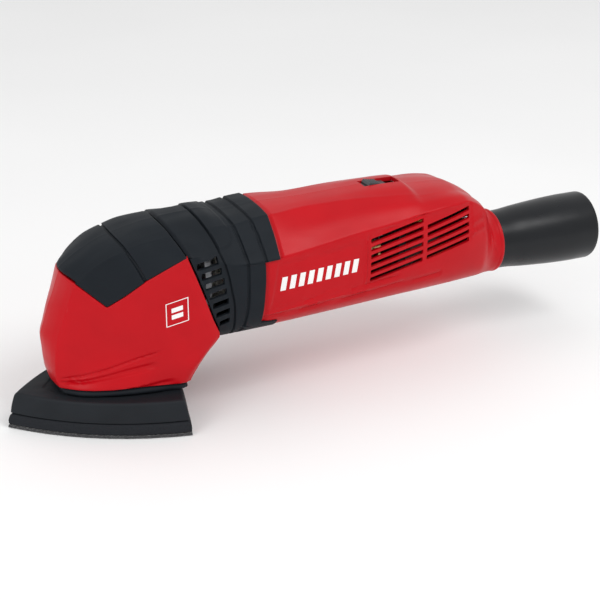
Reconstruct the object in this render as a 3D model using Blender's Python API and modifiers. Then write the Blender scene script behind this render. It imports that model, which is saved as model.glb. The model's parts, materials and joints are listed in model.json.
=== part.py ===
"""Corded detail ("mouse") sander with a swinging triangular pad, as an assembly of separate pieces.

Frame: origin at the middle of the sanding face, +Z up, nose at -X, dust outlet at +X.
The sander is symmetric about the plane y = 0. Sizes below are millimetres; MM turns them into metres.
"""
import math

import bpy
import bmesh
from mathutils import Matrix, Vector

MM = 0.001
GAP = 0.3                 # clearance left between touching pieces
WALL = 2.3                # moulded wall of the casings

# sanding pad: an equilateral triangle with bulged sides, in three layers
PAD_SIDE = 93.0
PAD_BULGE = 7.4
HOOK_TOP = 1.2
FOAM_TOP = 7.1
PLATE_BOTTOM = 7.4
PLATE_FLOOR = 12.0        # between here and the lid, dust gathers from the holes
PLATE_LID = 15.8
PLATE_TOP = 18.0
SEAM_INSET = 1.0
TOP_INSET = 2.5
RIM_WALL = 3.0
DUST_HOLE_R = 4.0
DUST_HOLE_CIRCLE = 24.0
DUST_HOLES = 6

# vertical output spindle on the origin's axis, and its bearings
SPINDLE_R = 4.0
SPINDLE_FLANGE_R = 13.0
SPINDLE_FLANGE = (12.3, 16.3)
SPINDLE_TOP = 80.0
SPINDLE_BEARING_R = 11.0
SPINDLE_BEARING_W = 7.0
LOWER_BEARING_Z = 25.0
UPPER_BEARING_Z = 50.0
FORK_HUB = (62.0, 76.0)

# horizontal motor
MOTOR_Z = 71.0
SHAFT_R = 4.0
ECCENTRICITY = 0.7
DRIVE_BEARING_X = 27.0
DRIVE_BEARING_R = 8.0
DRIVE_BEARING_W = 5.0
FRONT_BEARING_X = 44.0
REAR_BEARING_X = 150.0
FAN = (56.0, 65.0)
FAN_R = 21.0
STATOR = (80.0, 122.0)
STATOR_R = 22.0
STATOR_BORE_R = 17.9
POLE_R = 14.3
ARMATURE_R = 13.6
COMMUTATOR = (130.0, 141.0)
COMMUTATOR_R = 10.0
BRUSH_X = 135.5

# dust outlet at the tail
OUTLET_Z = 55.2
SPIGOT_R = 12.6
SPIGOT_BORE_R = 11.1
SPIGOT = (207.0, 238.0)
ADAPTER = (222.0, 283.0)

# switch on top of the barrel
SWITCH_X = (141.0, 162.0)
SWITCH_SLOT_HALF = 4.6
SWITCH_TRAVEL = 6.0

# screw bosses, as (x, z): the screws run across the casing
BARREL_SCREWS = [(70.0, 91.0), (70.0, 52.2), (130.0, 91.0), (130.0, 52.5), (196.0, 80.0)]
HEAD_SCREWS = [(-20.0, 62.0), (36.0, 36.4)]
BOSS_R = 3.3
SCREW_R = 1.5
SCREW_HEAD_R = 2.8

# cord inlet, on the side of the tail away from the switch's thumb
CORD_INLET = Vector((210.0, 14.5, 70.0))
CORD_R = 3.2

# casing sections along the barrel, as (x, half width, bottom z, top z)
BARREL_SECTIONS = [
    (66.0, 33.8, 37.8, 99.6), (84.0, 33.2, 38.0, 99.0), (104.0, 31.9, 38.5, 98.8),
    (125.0, 31.2, 39.2, 99.3), (150.0, 30.3, 40.0, 100.2), (158.0, 30.0, 40.2, 100.0),
    (168.0, 29.2, 40.5, 96.8), (183.0, 28.0, 40.8, 95.6), (191.0, 27.0, 41.0, 94.6),
    (198.0, 25.6, 41.0, 91.6), (206.0, 23.3, 41.0, 86.2), (214.0, 20.3, 40.8, 80.0),
    (220.0, 17.6, 38.9, 73.2)]
TAIL_INSIDE = [(206.0, 20.6, 42.3, 83.5), (214.0, 17.6, 42.3, 77.3), (218.5, 15.3, 42.3, 71.0)]
SLEEVE = (58.0, 31.4, 39.9, 96.6)       # neck of the barrel under the soft collar: x, then as above
COLLAR_SECTIONS = [
    (40.0, 35.6, 37.4, 100.8), (50.0, 35.5, 37.4, 100.2), (57.0, 35.4, 37.5, 98.6),
    (64.0, 35.2, 37.6, 98.5), (82.0, 34.6, 37.8, 100.0)]
SECTION_POWER = 2.8                      # squareness of a casing section
SECTION_POINTS = 28

# head casing, level by level: z, nose x, front corner, side point, shoulder and rear corner as (x, y)
HEAD_LEVELS = [
    (20.0, -29.5, (-26.0, 13.5), (-12.0, 24.5), (22.0, 31.5), (30.5, 28.0)),
    (26.0, -32.0, (-29.5, 11.5), (-4.0, 23.5), (27.0, 33.5), (35.5, 29.5)),
    (32.0, -33.0, (-30.0, 11.0), (-2.0, 23.2), (31.0, 34.3), (40.0, 30.0)),
    (38.0, -33.4, (-30.2, 11.0), (4.0, 24.5), (35.0, 34.8), (47.0, 27.0)),
    (41.0, -33.7, (-29.8, 11.2), (8.0, 25.9), (37.0, 35.0), (57.0, 22.5)),
    (45.0, -34.0, (-29.4, 11.3), (10.0, 26.6), (38.0, 35.4), (57.0, 28.5)),
    (51.0, -33.6, (-30.0, 11.5), (10.0, 26.6), (38.0, 35.8), (57.0, 32.5)),
    (65.0, -27.8, (-24.0, 13.0), (10.0, 26.6), (36.0, 36.2), (57.0, 35.4)),
    (79.0, -22.6, (-18.5, 15.0), (10.0, 26.6), (34.0, 36.0), (57.0, 35.2)),
    (85.0, -16.0, (-11.0, 17.5), (14.0, 27.3), (34.0, 34.5), (57.0, 33.0)),
    (90.0, -7.0, (-1.0, 19.5), (18.0, 27.5), (34.0, 33.0), (57.0, 31.0)),
    (95.0, 7.0, (16.0, 17.0), (30.0, 20.5), (42.0, 21.5), (57.0, 25.5)),
    (98.5, 24.0, (32.0, 10.0), (40.0, 13.5), (48.0, 16.0), (57.0, 20.0)),
    (101.0, 40.0, (44.0, 4.0), (48.0, 5.0), (52.0, 6.0), (57.0, 8.0))]
SHROUD_LEVEL = (20.0, -26.0, (-24.0, 9.0), (-8.0, 18.4), (20.0, 27.4), (27.8, 24.0))
DOME_START = 79.0                        # above this level the inner wall is offset downwards too
NECK_FLOOR = (32.0, 51.0)                # between these levels the inner wall is offset upwards
NECK_OPEN = 41.0                         # from this level up the head is open to the neck behind it

# edges between the casings, seen from the side, as (x, z)
CAP_EDGE = [(-30.0, 77.2), (-19.1, 77.2), (-5.5, 64.3), (2.8, 69.7), (13.4, 77.9), (31.3, 89.1)]
CAP_REAR = (46.8, 94.0)
HEAD_REAR_EDGE = [(31.3, 89.1), (35.7, 78.7), (40.5, 66.8), (45.4, 54.7), (49.5, 46.9), (50.5, 36.0)]
NECK_EDGE = [(46.8, 94.0), (51.5, 76.0), (54.4, 60.0), (55.0, 47.0), (55.0, 20.0)]
COLLAR_REAR_UPPER = 80.3
COLLAR_REAR_LOWER = 72.3
COLLAR_STEP_Z = 79.6

COLLECTION_NAME = "detail_sander"


# ---------------------------------------------------------------- scene and materials

def clear_scene():
    for item in list(bpy.data.objects):
        bpy.data.objects.remove(item, do_unlink=True)


def new_collection(name):
    collection = bpy.data.collections.new(name)
    bpy.context.scene.collection.children.link(collection)
    return collection


clear_scene()
PARTS = new_collection(COLLECTION_NAME)
CUTTERS = new_collection("cutters")


def material(name, colour, roughness, metallic=0.0):
    made = bpy.data.materials.new(name)
    made.use_nodes = True
    shader = made.node_tree.nodes["Principled BSDF"]
    shader.inputs["Base Color"].default_value = (*colour, 1.0)
    shader.inputs["Roughness"].default_value = roughness
    shader.inputs["Metallic"].default_value = metallic
    made.diffuse_color = (*colour, 1.0)
    return made


FINISHES = {
    "red_plastic": ((0.56, 0.006, 0.013), 0.35, 0.0),
    "soft_grip": ((0.026, 0.03, 0.036), 0.62, 0.0),
    "black_plastic": ((0.018, 0.021, 0.025), 0.45, 0.0),
    "pad_rubber": ((0.028, 0.031, 0.036), 0.7, 0.0),
    "hook_fabric": ((0.05, 0.05, 0.055), 0.95, 0.0),
    "switch_grey": ((0.12, 0.13, 0.15), 0.5, 0.0),
    "steel": ((0.55, 0.56, 0.58), 0.28, 1.0),
    "laminated_steel": ((0.32, 0.32, 0.34), 0.45, 1.0),
    "cast_aluminium": ((0.62, 0.63, 0.65), 0.5, 1.0),
    "copper": ((0.72, 0.33, 0.16), 0.35, 1.0),
    "brass": ((0.74, 0.56, 0.26), 0.35, 1.0),
    "carbon": ((0.03, 0.03, 0.03), 0.8, 0.0),
    "white_nylon": ((0.7, 0.7, 0.66), 0.5, 0.0),
    "yellow_foil": ((0.7, 0.5, 0.08), 0.5, 0.0),
    "blue_sleeve": ((0.04, 0.12, 0.5), 0.5, 0.0),
    "brown_sleeve": ((0.2, 0.08, 0.03), 0.5, 0.0),
}
MATERIALS = {name: material(name, *finish) for name, finish in FINISHES.items()}


# ---------------------------------------------------------------- making pieces

def place(name, mesh, finish, collection=None):
    """Link a mesh as a named object, in the parts collection unless another is given."""
    made = bpy.data.objects.new(name, mesh)
    (collection or PARTS).objects.link(made)
    if finish:
        mesh.materials.append(MATERIALS[finish])
    mesh.shade_smooth()
    mesh.set_sharp_from_angle(angle=math.radians(35))
    if collection is CUTTERS:
        made.hide_render = True
        made.display_type = "WIRE"
    return made


def loft(name, rings, finish=None, collection=None):
    """A closed body through rings of equal point counts, each given in millimetres."""
    shape = bmesh.new()
    loops = [[shape.verts.new(Vector(point) * MM) for point in ring] for ring in rings]
    for lower, upper in zip(loops, loops[1:]):
        for i in range(len(lower)):
            j = (i + 1) % len(lower)
            shape.faces.new((lower[i], lower[j], upper[j], upper[i]))
    shape.faces.new(loops[0][::-1])
    shape.faces.new(loops[-1])
    if shape.calc_volume(signed=True) < 0:
        bmesh.ops.reverse_faces(shape, faces=shape.faces)
    mesh = bpy.data.meshes.new(name)
    shape.to_mesh(mesh)
    shape.free()
    return place(name, mesh, finish, collection)


def prism(name, outline, low, high, axis="Z", finish=None, collection=None):
    """A flat outline carried along an axis. Along Y the outline is given as (x, z)."""
    order = {"Z": lambda a, b, c: (a, b, c), "Y": lambda a, b, c: (a, c, b),
             "X": lambda a, b, c: (c, a, b)}[axis]
    rings = [[order(a, b, level) for a, b in outline] for level in (low, high)]
    return loft(name, rings, finish, collection)


def block(name, low, high, finish=None, bevel=0.0, collection=None):
    """A box between two corners, its edges rounded by bevel."""
    shape = bmesh.new()
    size = Vector(high) - Vector(low)
    middle = (Vector(high) + Vector(low)) / 2
    matrix = Matrix.Translation(middle * MM) @ Matrix.Diagonal((*(size * MM), 1.0))
    bmesh.ops.create_cube(shape, size=1.0, matrix=matrix)
    mesh = bpy.data.meshes.new(name)
    shape.to_mesh(mesh)
    shape.free()
    made = place(name, mesh, finish, collection)
    if bevel:
        rounding = made.modifiers.new("rounding", "BEVEL")
        rounding.width = bevel * MM
        rounding.segments = 2
    return made


AIM = {"Z": Matrix.Identity(4),
       "X": Matrix.Rotation(math.radians(90), 4, "Y"),
       "Y": Matrix.Rotation(math.radians(-90), 4, "X")}


def turned(name, profile, finish=None, axis="Z", centre=(0, 0, 0), steps=24, collection=None):
    """A turned body. The profile is (radius, height), down its outer side and back up its bore."""
    closed = profile[0][0] > 0
    count = len(profile)
    edges = [(i, i + 1) for i in range(count - 1)] + ([(count - 1, 0)] if closed else [])
    mesh = bpy.data.meshes.new(name)
    mesh.from_pydata([(radius * MM, 0, height * MM) for radius, height in profile], edges, [])
    made = place(name, mesh, finish, collection)
    made.matrix_world = Matrix.Translation(Vector(centre) * MM) @ AIM[axis]
    spin = made.modifiers.new("turn", "SCREW")
    spin.steps = spin.render_steps = steps
    spin.use_merge_vertices = True
    spin.merge_threshold = 0.00001
    return made


def ring_profile(outer, bore, low, high):
    return [(outer, high), (outer, low), (bore, low), (bore, high)]


def rod_profile(radius, low, high):
    return [(0, high), (radius, high), (radius, low), (0, low)]


def cylinder(name, radius, low, high, axis, centre, steps=20, collection=None, finish=None):
    return turned(name, rod_profile(radius, low, high), finish, axis, centre, steps, collection)


def wire(name, points, radius, finish, cyclic=False, resolution=1):
    """A round wire through points in millimetres."""
    curve = bpy.data.curves.new(name, "CURVE")
    curve.dimensions = "3D"
    curve.bevel_depth = radius * MM
    curve.bevel_resolution = resolution
    curve.use_fill_caps = True
    spline = curve.splines.new("POLY")
    spline.points.add(len(points) - 1)
    for slot, point in zip(spline.points, points):
        slot.co = (*(Vector(point) * MM), 1.0)
    spline.use_cyclic_u = cyclic
    made = bpy.data.objects.new(name, curve)
    PARTS.objects.link(made)
    curve.materials.append(MATERIALS[finish])
    return made


def combine(target, other, operation):
    """Cut, join or trim the target with another object by an exact boolean."""
    step = target.modifiers.new(other.name, "BOOLEAN")
    step.operation = operation
    step.solver = "EXACT"
    step.object = other


def cut(target, *cutters):
    for cutter in cutters:
        combine(target, cutter, "DIFFERENCE")


def shrink(outline, distance):
    """Move each edge of an outline inwards, whichever way round it runs."""
    count = len(outline)
    area = sum(outline[i][0] * outline[(i + 1) % count][1] - outline[(i + 1) % count][0] * outline[i][1]
               for i in range(count))
    side = math.copysign(1.0, area)
    moved = []
    for i in range(count):
        before, here, after = (Vector(outline[i - 1]), Vector(outline[i]), Vector(outline[(i + 1) % count]))
        first, second = (here - before).normalized(), (after - here).normalized()
        normal_a = Vector((-first.y, first.x)) * side
        normal_b = Vector((-second.y, second.x)) * side
        scale = distance / (1.0 + normal_a.dot(normal_b))
        moved.append(tuple(here + (normal_a + normal_b) * scale))
    return moved


def gather(name, pieces):
    """Gather several cutters into one cutter of separate solids."""
    shape = bmesh.new()
    graph = bpy.context.evaluated_depsgraph_get()
    for piece in pieces:
        mesh = bpy.data.meshes.new_from_object(piece.evaluated_get(graph))
        mesh.transform(piece.matrix_world)
        shape.from_mesh(mesh)
        bpy.data.objects.remove(piece, do_unlink=True)
    mesh = bpy.data.meshes.new(name)
    shape.to_mesh(mesh)
    shape.free()
    return place(name, mesh, None, CUTTERS)


# ---------------------------------------------------------------- sanding pad

def pad_outline(inset, per_side=9):
    """The bulged triangle, moved inwards, nose at -X."""
    side = PAD_SIDE - 2 * math.sqrt(3) * inset
    reach = side / math.sqrt(3)
    corners = [Vector((reach * math.cos(a), reach * math.sin(a)))
               for a in (math.pi + k * 2 * math.pi / 3 for k in range(3))]
    outline = []
    for k, corner in enumerate(corners):
        along = corners[(k + 1) % 3] - corner
        outward = Vector((along.y, -along.x)).normalized()
        for i in range(per_side):
            t = i / per_side
            outline.append(tuple(corner + along * t + outward * PAD_BULGE * 4 * t * (1 - t)))
    return outline


def dust_hole_places():
    angles = [math.radians(60 * k + 30) for k in range(DUST_HOLES)]
    return [(DUST_HOLE_CIRCLE * math.cos(a), DUST_HOLE_CIRCLE * math.sin(a)) for a in angles]


def pad_layer(name, levels, finish):
    rings = [[(x, y, z) for x, y in pad_outline(inset)] for z, inset in levels]
    return loft(name, rings, finish)


def make_pad():
    hook = pad_layer("hook_face", [(0.0, 0.0), (HOOK_TOP, 0.15)], "hook_fabric")
    foam = pad_layer("pad_foam", [(HOOK_TOP + GAP, 0.2), (FOAM_TOP, SEAM_INSET)], "pad_rubber")
    plate = pad_layer("pad_plate", [(PLATE_BOTTOM, SEAM_INSET), (PLATE_TOP, TOP_INSET)], "pad_rubber")
    pocket = loft("plate_pocket", [[(x, y, z) for x, y in pad_outline(TOP_INSET + RIM_WALL)]
                                   for z in (PLATE_FLOOR, PLATE_LID)], collection=CUTTERS)
    mouth = prism("plate_mouth", [(x, y) for x, y, z in head_ring(SHROUD_LEVEL, 2.5)],
                  PLATE_LID - 1, PLATE_TOP + 5, "Z", None, CUTTERS)
    holes = [cylinder("dust_hole", DUST_HOLE_R, -5, PLATE_FLOOR + 1, "Z", (x, y, 0), steps=12)
             for x, y in dust_hole_places()]
    drill = gather("pad_dust_holes", holes)
    head_hole = cylinder("pad_screw_hole", 7.0, -5, FOAM_TOP + 0.1, "Z", (0, 0, 0), 20, CUTTERS)
    shank_hole = cylinder("pad_shank_hole", 2.9, -5, PLATE_TOP, "Z", (0, 0, 0), 16, CUTTERS)
    cut(hook, drill)
    cut(foam, drill, head_hole)
    cut(plate, pocket, mouth, drill, shank_hole)
    turned("pad_screw", [(0, 22), (2.5, 22), (2.5, FOAM_TOP), (5.5, FOAM_TOP), (5.5, 4.2), (2.0, 4.2),
                         (2.0, 5.6), (0, 5.6)], "steel", steps=16)


# ---------------------------------------------------------------- spindle and swing drive

def bearing(name, x_or_z, outer, bore, width, axis, centre=(0, 0, 0)):
    """A shielded ball bearing: two races with a sunk shield between them."""
    low, high = x_or_z, x_or_z + width
    race = (outer - bore) * 0.28
    lip = 0.5
    profile = [(outer, high), (outer, low), (outer - race, low), (outer - race, low + lip),
               (bore + race, low + lip), (bore + race, low), (bore, low), (bore, high),
               (bore + race, high), (bore + race, high - lip), (outer - race, high - lip), (outer - race, high)]
    return turned(name, profile, "steel", axis, centre, 16)


def make_spindle():
    flange_low, flange_high = SPINDLE_FLANGE
    turned("output_spindle",
           [(0, SPINDLE_TOP), (SPINDLE_R, SPINDLE_TOP), (SPINDLE_R, LOWER_BEARING_Z - 1), (5.6, LOWER_BEARING_Z - 1),
            (5.6, flange_high), (SPINDLE_FLANGE_R, flange_high), (SPINDLE_FLANGE_R, flange_low),
            (2.8, flange_low), (2.8, 23.0), (0, 23.0)], "steel", steps=20)
    for name, z in (("lower_spindle_bearing", LOWER_BEARING_Z), ("upper_spindle_bearing", UPPER_BEARING_Z)):
        bearing(name, z, SPINDLE_BEARING_R, SPINDLE_R + GAP / 2, SPINDLE_BEARING_W, "Z")
    seat = SPINDLE_BEARING_R + GAP / 2
    top = UPPER_BEARING_Z + SPINDLE_BEARING_W + 0.6
    turned("spindle_housing",
           [(14.0, top), (14.0, 30.0), (18.0, 30.0), (18.0, 26.0), (14.0, 26.0), (14.0, LOWER_BEARING_Z - 0.4),
            (seat, LOWER_BEARING_Z - 0.4), (seat, LOWER_BEARING_Z + 7.3), (8.0, LOWER_BEARING_Z + 7.3),
            (8.0, UPPER_BEARING_Z - 0.3), (seat, UPPER_BEARING_Z - 0.3), (seat, top)], "cast_aluminium", steps=24)


def make_fork():
    low, high = FORK_HUB
    inner = DRIVE_BEARING_R + ECCENTRICITY + 1.1
    outer = inner + 4.0
    front, back = 20.0, DRIVE_BEARING_X + DRIVE_BEARING_W + 1.5
    arm = [(-9.0, -6.0), (-6.0, -9.0), (6.0, -9.0), (front - 4, -outer), (back, -outer), (back, -inner),
           (front, -inner), (front - 1.5, -inner + 1.5), (front - 1.5, inner - 1.5), (front, inner),
           (back, inner), (back, outer), (front - 4, outer), (6.0, 9.0), (-6.0, 9.0), (-9.0, 6.0)]
    fork = prism("swing_fork", arm, low, high, "Z", "steel")
    cut(fork, cylinder("fork_bore", SPINDLE_R + GAP / 2, low - 5, high + 5, "Z", (0, 0, 0), 20, CUTTERS))
    thread = (SPINDLE_R + GAP / 2) / math.cos(math.pi / 6)
    turned("fork_nut", ring_profile(7.5, thread, high + 0.2, high + 3.4), "steel", steps=6)


# ---------------------------------------------------------------- motor

def make_rotor():
    def on_axis(name, profile, finish, steps=18):
        return turned(name, profile, finish, "X", (0, 0, MOTOR_Z), steps)

    shaft_front = DRIVE_BEARING_X + DRIVE_BEARING_W + 1.0
    end = REAR_BEARING_X + 7.0
    on_axis("rotor_shaft", [(0, end), (3.0, end), (3.0, REAR_BEARING_X - 1), (SHAFT_R, REAR_BEARING_X - 1),
                            (SHAFT_R, shaft_front + 2), (2.4, shaft_front + 2), (2.4, 25.0), (0, 25.0)], "steel")
    journal = 3.4
    make_eccentric(journal, DRIVE_BEARING_X - 0.8)
    bearing("drive_bearing", DRIVE_BEARING_X, DRIVE_BEARING_R, journal + GAP / 2, DRIVE_BEARING_W, "X",
            (0, 0, MOTOR_Z + ECCENTRICITY))
    on_axis("armature_core", ring_profile(ARMATURE_R, SHAFT_R + GAP / 2, *STATOR), "laminated_steel", 24)
    front_ends = (STATOR[0] - 6.0, STATOR[0] - GAP)
    rear_ends = (STATOR[1] + GAP, STATOR[1] + 6.0)
    for name, (low, high) in (("front_windings", front_ends), ("rear_windings", rear_ends)):
        on_axis(name, [(12.0, high), (13.0, high - 1.5), (13.0, low + 1.5), (12.0, low),
                       (SHAFT_R + GAP / 2, low), (SHAFT_R + GAP / 2, high)], "copper")
    low, high = COMMUTATOR
    on_axis("commutator", [(COMMUTATOR_R, high), (COMMUTATOR_R, low + 1.5), (COMMUTATOR_R + 1.2, low + 1.2),
                           (COMMUTATOR_R + 1.2, low), (SHAFT_R + GAP / 2, low), (SHAFT_R + GAP / 2, high)],
            "copper")
    make_fan()


def make_eccentric(journal, start):
    """The hub on the shaft's nose: a journal set off the motor axis, and a balance weight."""
    bore = 2.4 + GAP / 2
    low, high = DRIVE_BEARING_X + DRIVE_BEARING_W + 0.4, 41.0
    hub = cylinder("eccentric_hub", journal, start, low + 2, "X", (0, 0, MOTOR_Z + ECCENTRICITY), 20, finish="steel")
    web = cylinder("eccentric_web", 7.0, low, high, "X", (0, 0, MOTOR_Z), 24, CUTTERS)
    weight = prism("balance_weight", arc_outline(6.5, 11.0, 210, 330), low + 2.5, high, "X", None, CUTTERS)
    combine(hub, web, "UNION")
    combine(hub, weight, "UNION")
    cut(hub, cylinder("hub_nose_bore", bore, start - 5, low + 3.1, "X", (0, 0, MOTOR_Z), 16, CUTTERS),
        cylinder("hub_shaft_bore", SHAFT_R + GAP / 2, low + 2.2, high + 5, "X", (0, 0, MOTOR_Z), 20, CUTTERS))


def arc_outline(inner, outer, start, end, count=10, centre=(0.0, MOTOR_Z)):
    """A band of a circle in the YZ plane, as (y, z), angles in degrees from +Y."""
    angles = [math.radians(start + (end - start) * i / count) for i in range(count + 1)]
    rim = [(centre[0] + outer * math.cos(a), centre[1] + outer * math.sin(a)) for a in angles]
    bore = [(centre[0] + inner * math.cos(a), centre[1] + inner * math.sin(a)) for a in reversed(angles)]
    return rim + bore


def make_fan():
    """A radial fan: a back plate and hub, and straight blades on its front."""
    low, high = FAN
    bore = SHAFT_R + GAP / 2
    fan = turned("cooling_fan", [(FAN_R, high), (FAN_R, high - 1.6), (8.0, high - 1.6), (8.0, low), (bore, low),
                                 (bore, high)], "white_nylon", "X", (0, 0, MOTOR_Z), 32)
    blades = []
    for k in range(10):
        turn = Matrix.Rotation(math.radians(36 * k), 4, "X")
        blade = block("blade", (low + 0.5, -0.7, 7.2), (high - 0.8, 0.7, FAN_R - 0.8), collection=CUTTERS)
        blade.data.transform(turn)
        blade.data.transform(Matrix.Translation((0, 0, MOTOR_Z * MM)))
        blades.append(blade)
    bpy.context.view_layer.update()
    combine(fan, gather("fan_blades", blades), "UNION")


def make_stator():
    low, high = STATOR
    core = turned("stator_core", ring_profile(STATOR_R, STATOR_BORE_R, low, high), "laminated_steel", "X",
                  (0, 0, MOTOR_Z), 32)
    for name, middle in (("pole_top", 90), ("pole_bottom", 270)):
        outline = arc_outline(POLE_R, STATOR_BORE_R + 1.5, middle - 36, middle + 36)
        combine(core, prism(name, outline, low, high, "X", None, CUTTERS), "UNION")
    for name, middle in (("field_coil_upper", 90), ("field_coil_lower", 270)):
        wire(name, coil_path(middle), 1.55, "copper", cyclic=True)


def coil_path(middle, half_angle=50, radius=16.05):
    """One field coil: a loop on a cylinder round the motor axis, about a pole."""
    front, back = STATOR[0] - 3.2, STATOR[1] + 3.2
    turns = [math.radians(middle + half_angle * (i / 4 - 1)) for i in range(9)]
    around = [(radius * math.cos(a), MOTOR_Z + radius * math.sin(a)) for a in turns]
    return [(front, y, z) for y, z in around] + [(back, y, z) for y, z in reversed(around)]


def make_motor_supports():
    """The front plate and rear carrier that hold the motor's bearings in the casing."""
    bearing("front_motor_bearing", FRONT_BEARING_X, 11.0, SHAFT_R + GAP / 2, 7.0, "X", (0, 0, MOTOR_Z))
    bearing("rear_motor_bearing", REAR_BEARING_X, 9.5, 3.0 + GAP / 2, 6.0, "X", (0, 0, MOTOR_Z))
    turned("bearing_sleeve", [(11.5, REAR_BEARING_X + 7.8), (11.5, REAR_BEARING_X - 0.3),
                              (9.8, REAR_BEARING_X - 0.3), (9.8, REAR_BEARING_X + 6.3), (3.6, REAR_BEARING_X + 6.3),
                              (3.6, REAR_BEARING_X + 7.8)], "soft_grip", "X", (0, 0, MOTOR_Z), 24)
    plate = loft("front_bearing_plate", [section_ring(x, 29.5, 49.0, 92.5, 24) for x in (42.5, 45.5)],
                 "cast_aluminium")
    combine(plate, cylinder("front_boss", 14.0, 44.0, 52.0, "X", (0, 0, MOTOR_Z), 24, CUTTERS), "UNION")
    cut(plate, cylinder("front_seat", 11.15, 43.8, 60.0, "X", (0, 0, MOTOR_Z), 20, CUTTERS),
        cylinder("front_eye", 7.2, 38.0, 44.4, "X", (0, 0, MOTOR_Z), 18, CUTTERS))
    for name, x, y, z in (("vent_a", 44, 19.5, 78), ("vent_b", 44, -19.5, 78), ("vent_c", 44, 19.5, 62),
                          ("vent_d", 44, -19.5, 62)):
        cut(plate, cylinder(name, 3.6, -6, 6, "X", (x, y, z), 12, CUTTERS))
    low, high = REAR_BEARING_X + 1.0, REAR_BEARING_X + 5.0
    carrier = prism("rear_bearing_carrier", [(-26, 58), (-26, 78), (-13, 82.6), (13, 82.6), (26, 78), (26, 58),
                                             (15, 52), (-15, 52)], low, high, "X", "black_plastic")
    cut(carrier, cylinder("rear_seat", 11.8, low - 5, high + 5, "X", (0, 0, MOTOR_Z), 24, CUTTERS))


def make_brushes():
    for side, sign in (("left", -1), ("right", 1)):
        def span(a, b):
            return (min(sign * a, sign * b), max(sign * a, sign * b))

        near, far = span(COMMUTATOR_R + 0.4, COMMUTATOR_R + 11.0)
        block(f"carbon_brush_{side}", (BRUSH_X - 3, near, MOTOR_Z - 2.5), (BRUSH_X + 3, far, MOTOR_Z + 2.5), "carbon")
        near, far = span(COMMUTATOR_R + 2.5, 26.3)
        holder = block(f"brush_holder_{side}", (BRUSH_X - 4.6, near, MOTOR_Z - 4.1),
                       (BRUSH_X + 4.6, far, MOTOR_Z + 4.1), "brass")
        near, far = span(COMMUTATOR_R, 30.0)
        cut(holder, block(f"holder_slot_{side}", (BRUSH_X - 3.3, near, MOTOR_Z - 2.8),
                          (BRUSH_X + 3.3, far, MOTOR_Z + 2.8), collection=CUTTERS))
        start, turns, length = COMMUTATOR_R + 11.8, 3.5, 3.6
        points = []
        for i in range(int(turns * 8) + 1):
            a = 2 * math.pi * i / 8
            points.append((BRUSH_X + 1.9 * math.cos(a), sign * (start + length * i / (turns * 8)),
                           MOTOR_Z + 1.9 * math.sin(a)))
        wire(f"brush_spring_{side}", points, 0.3, "steel", resolution=0)


# ---------------------------------------------------------------- casings

def section_ring(x, half_width, bottom, top, count=SECTION_POINTS, power=SECTION_POWER):
    """One rounded-square section of the casing, across the barrel."""
    middle, half_height = (top + bottom) / 2, (top - bottom) / 2
    ring = []
    for i in range(count):
        angle = 2 * math.pi * (i + 0.5) / count
        c, s = math.cos(angle), math.sin(angle)
        ring.append((x, half_width * math.copysign(abs(c) ** (2 / power), c),
                     middle + half_height * math.copysign(abs(s) ** (2 / power), s)))
    return ring


def smaller(section, amount):
    x, half_width, bottom, top = section
    return (x, half_width - amount, bottom + amount, top - amount)


def side_region(name, outline, low=-60.0, high=60.0):
    """A cutter that keeps what lies inside an outline seen from the side, as (x, z)."""
    return prism(name, shrink(outline, GAP / 2), low, high, "Y", None, CUTTERS)


def boss_block(name, places, reach=4.0):
    """Cylinders across the casing, with a gap at its middle plane, that become screw bosses."""
    pieces = [cylinder("boss", BOSS_R, low, high, "Y", (x, 0, z), 12)
              for x, z in places for low, high in ((-70, -reach), (reach, 70))]
    return gather(name, pieces)


def screw_drill(name, places, ends, heads):
    """Clearance for screws that enter from the +Y side."""
    pieces = [cylinder("shank", SCREW_R + 0.25, end, 70, "Y", (x, 0, z), 12)
              for (x, z), end in zip(places, ends)]
    shanks = gather(name, pieces)
    pieces = [cylinder("well", SCREW_HEAD_R + 0.3, head - 2.4, 70, "Y", (x, 0, z), 12)
              for (x, z), head in zip(places, heads)]
    wells = gather(name + "_wells", pieces)
    return shanks, wells


def make_screws(name, places, ends, heads):
    for number, ((x, z), end, head) in enumerate(zip(places, ends, heads), 1):
        turned(f"{name}_{number}", [(0, head), (SCREW_HEAD_R, head), (SCREW_HEAD_R, head - 2.0),
                                    (SCREW_R, head - 2.0), (SCREW_R, end + 0.5), (0, end + 0.5)],
               "steel", "Y", (x, 0, z), 10)


def vent_slots():
    """Two columns of cooling slots on each side of the barrel, rising towards the tail."""
    tilt = Matrix.Rotation(math.radians(-10.7), 4, "Y")
    slots = []
    for start, end, low, high, count in ((132.5, 164.0, 60.9, 82.3, 6), (166.5, 193.0, 67.0, 83.8, 5)):
        for i in range(count):
            z = low + (high - low) * i / (count - 1)
            half = (end - start) / 2
            slot = block("slot", (-half, -60, -1.15), (half, 60, 1.15), collection=CUTTERS)
            slot.data.transform(tilt)
            slot.data.transform(Matrix.Translation(Vector(((start + end) / 2, 0, z)) * MM))
            slots.append(slot)
    bpy.context.view_layer.update()
    return gather("barrel_vents", slots)


BARREL_SCREW_ENDS = [-12.0, -20.0, -12.0, -20.0, -10.0]
BARREL_SCREW_HEADS = [19.0, 22.0, 18.0, 21.0, 15.0]
HEAD_SCREW_ENDS = [-9.0, -20.0]
HEAD_SCREW_HEADS = [11.0, 24.0]


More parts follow.
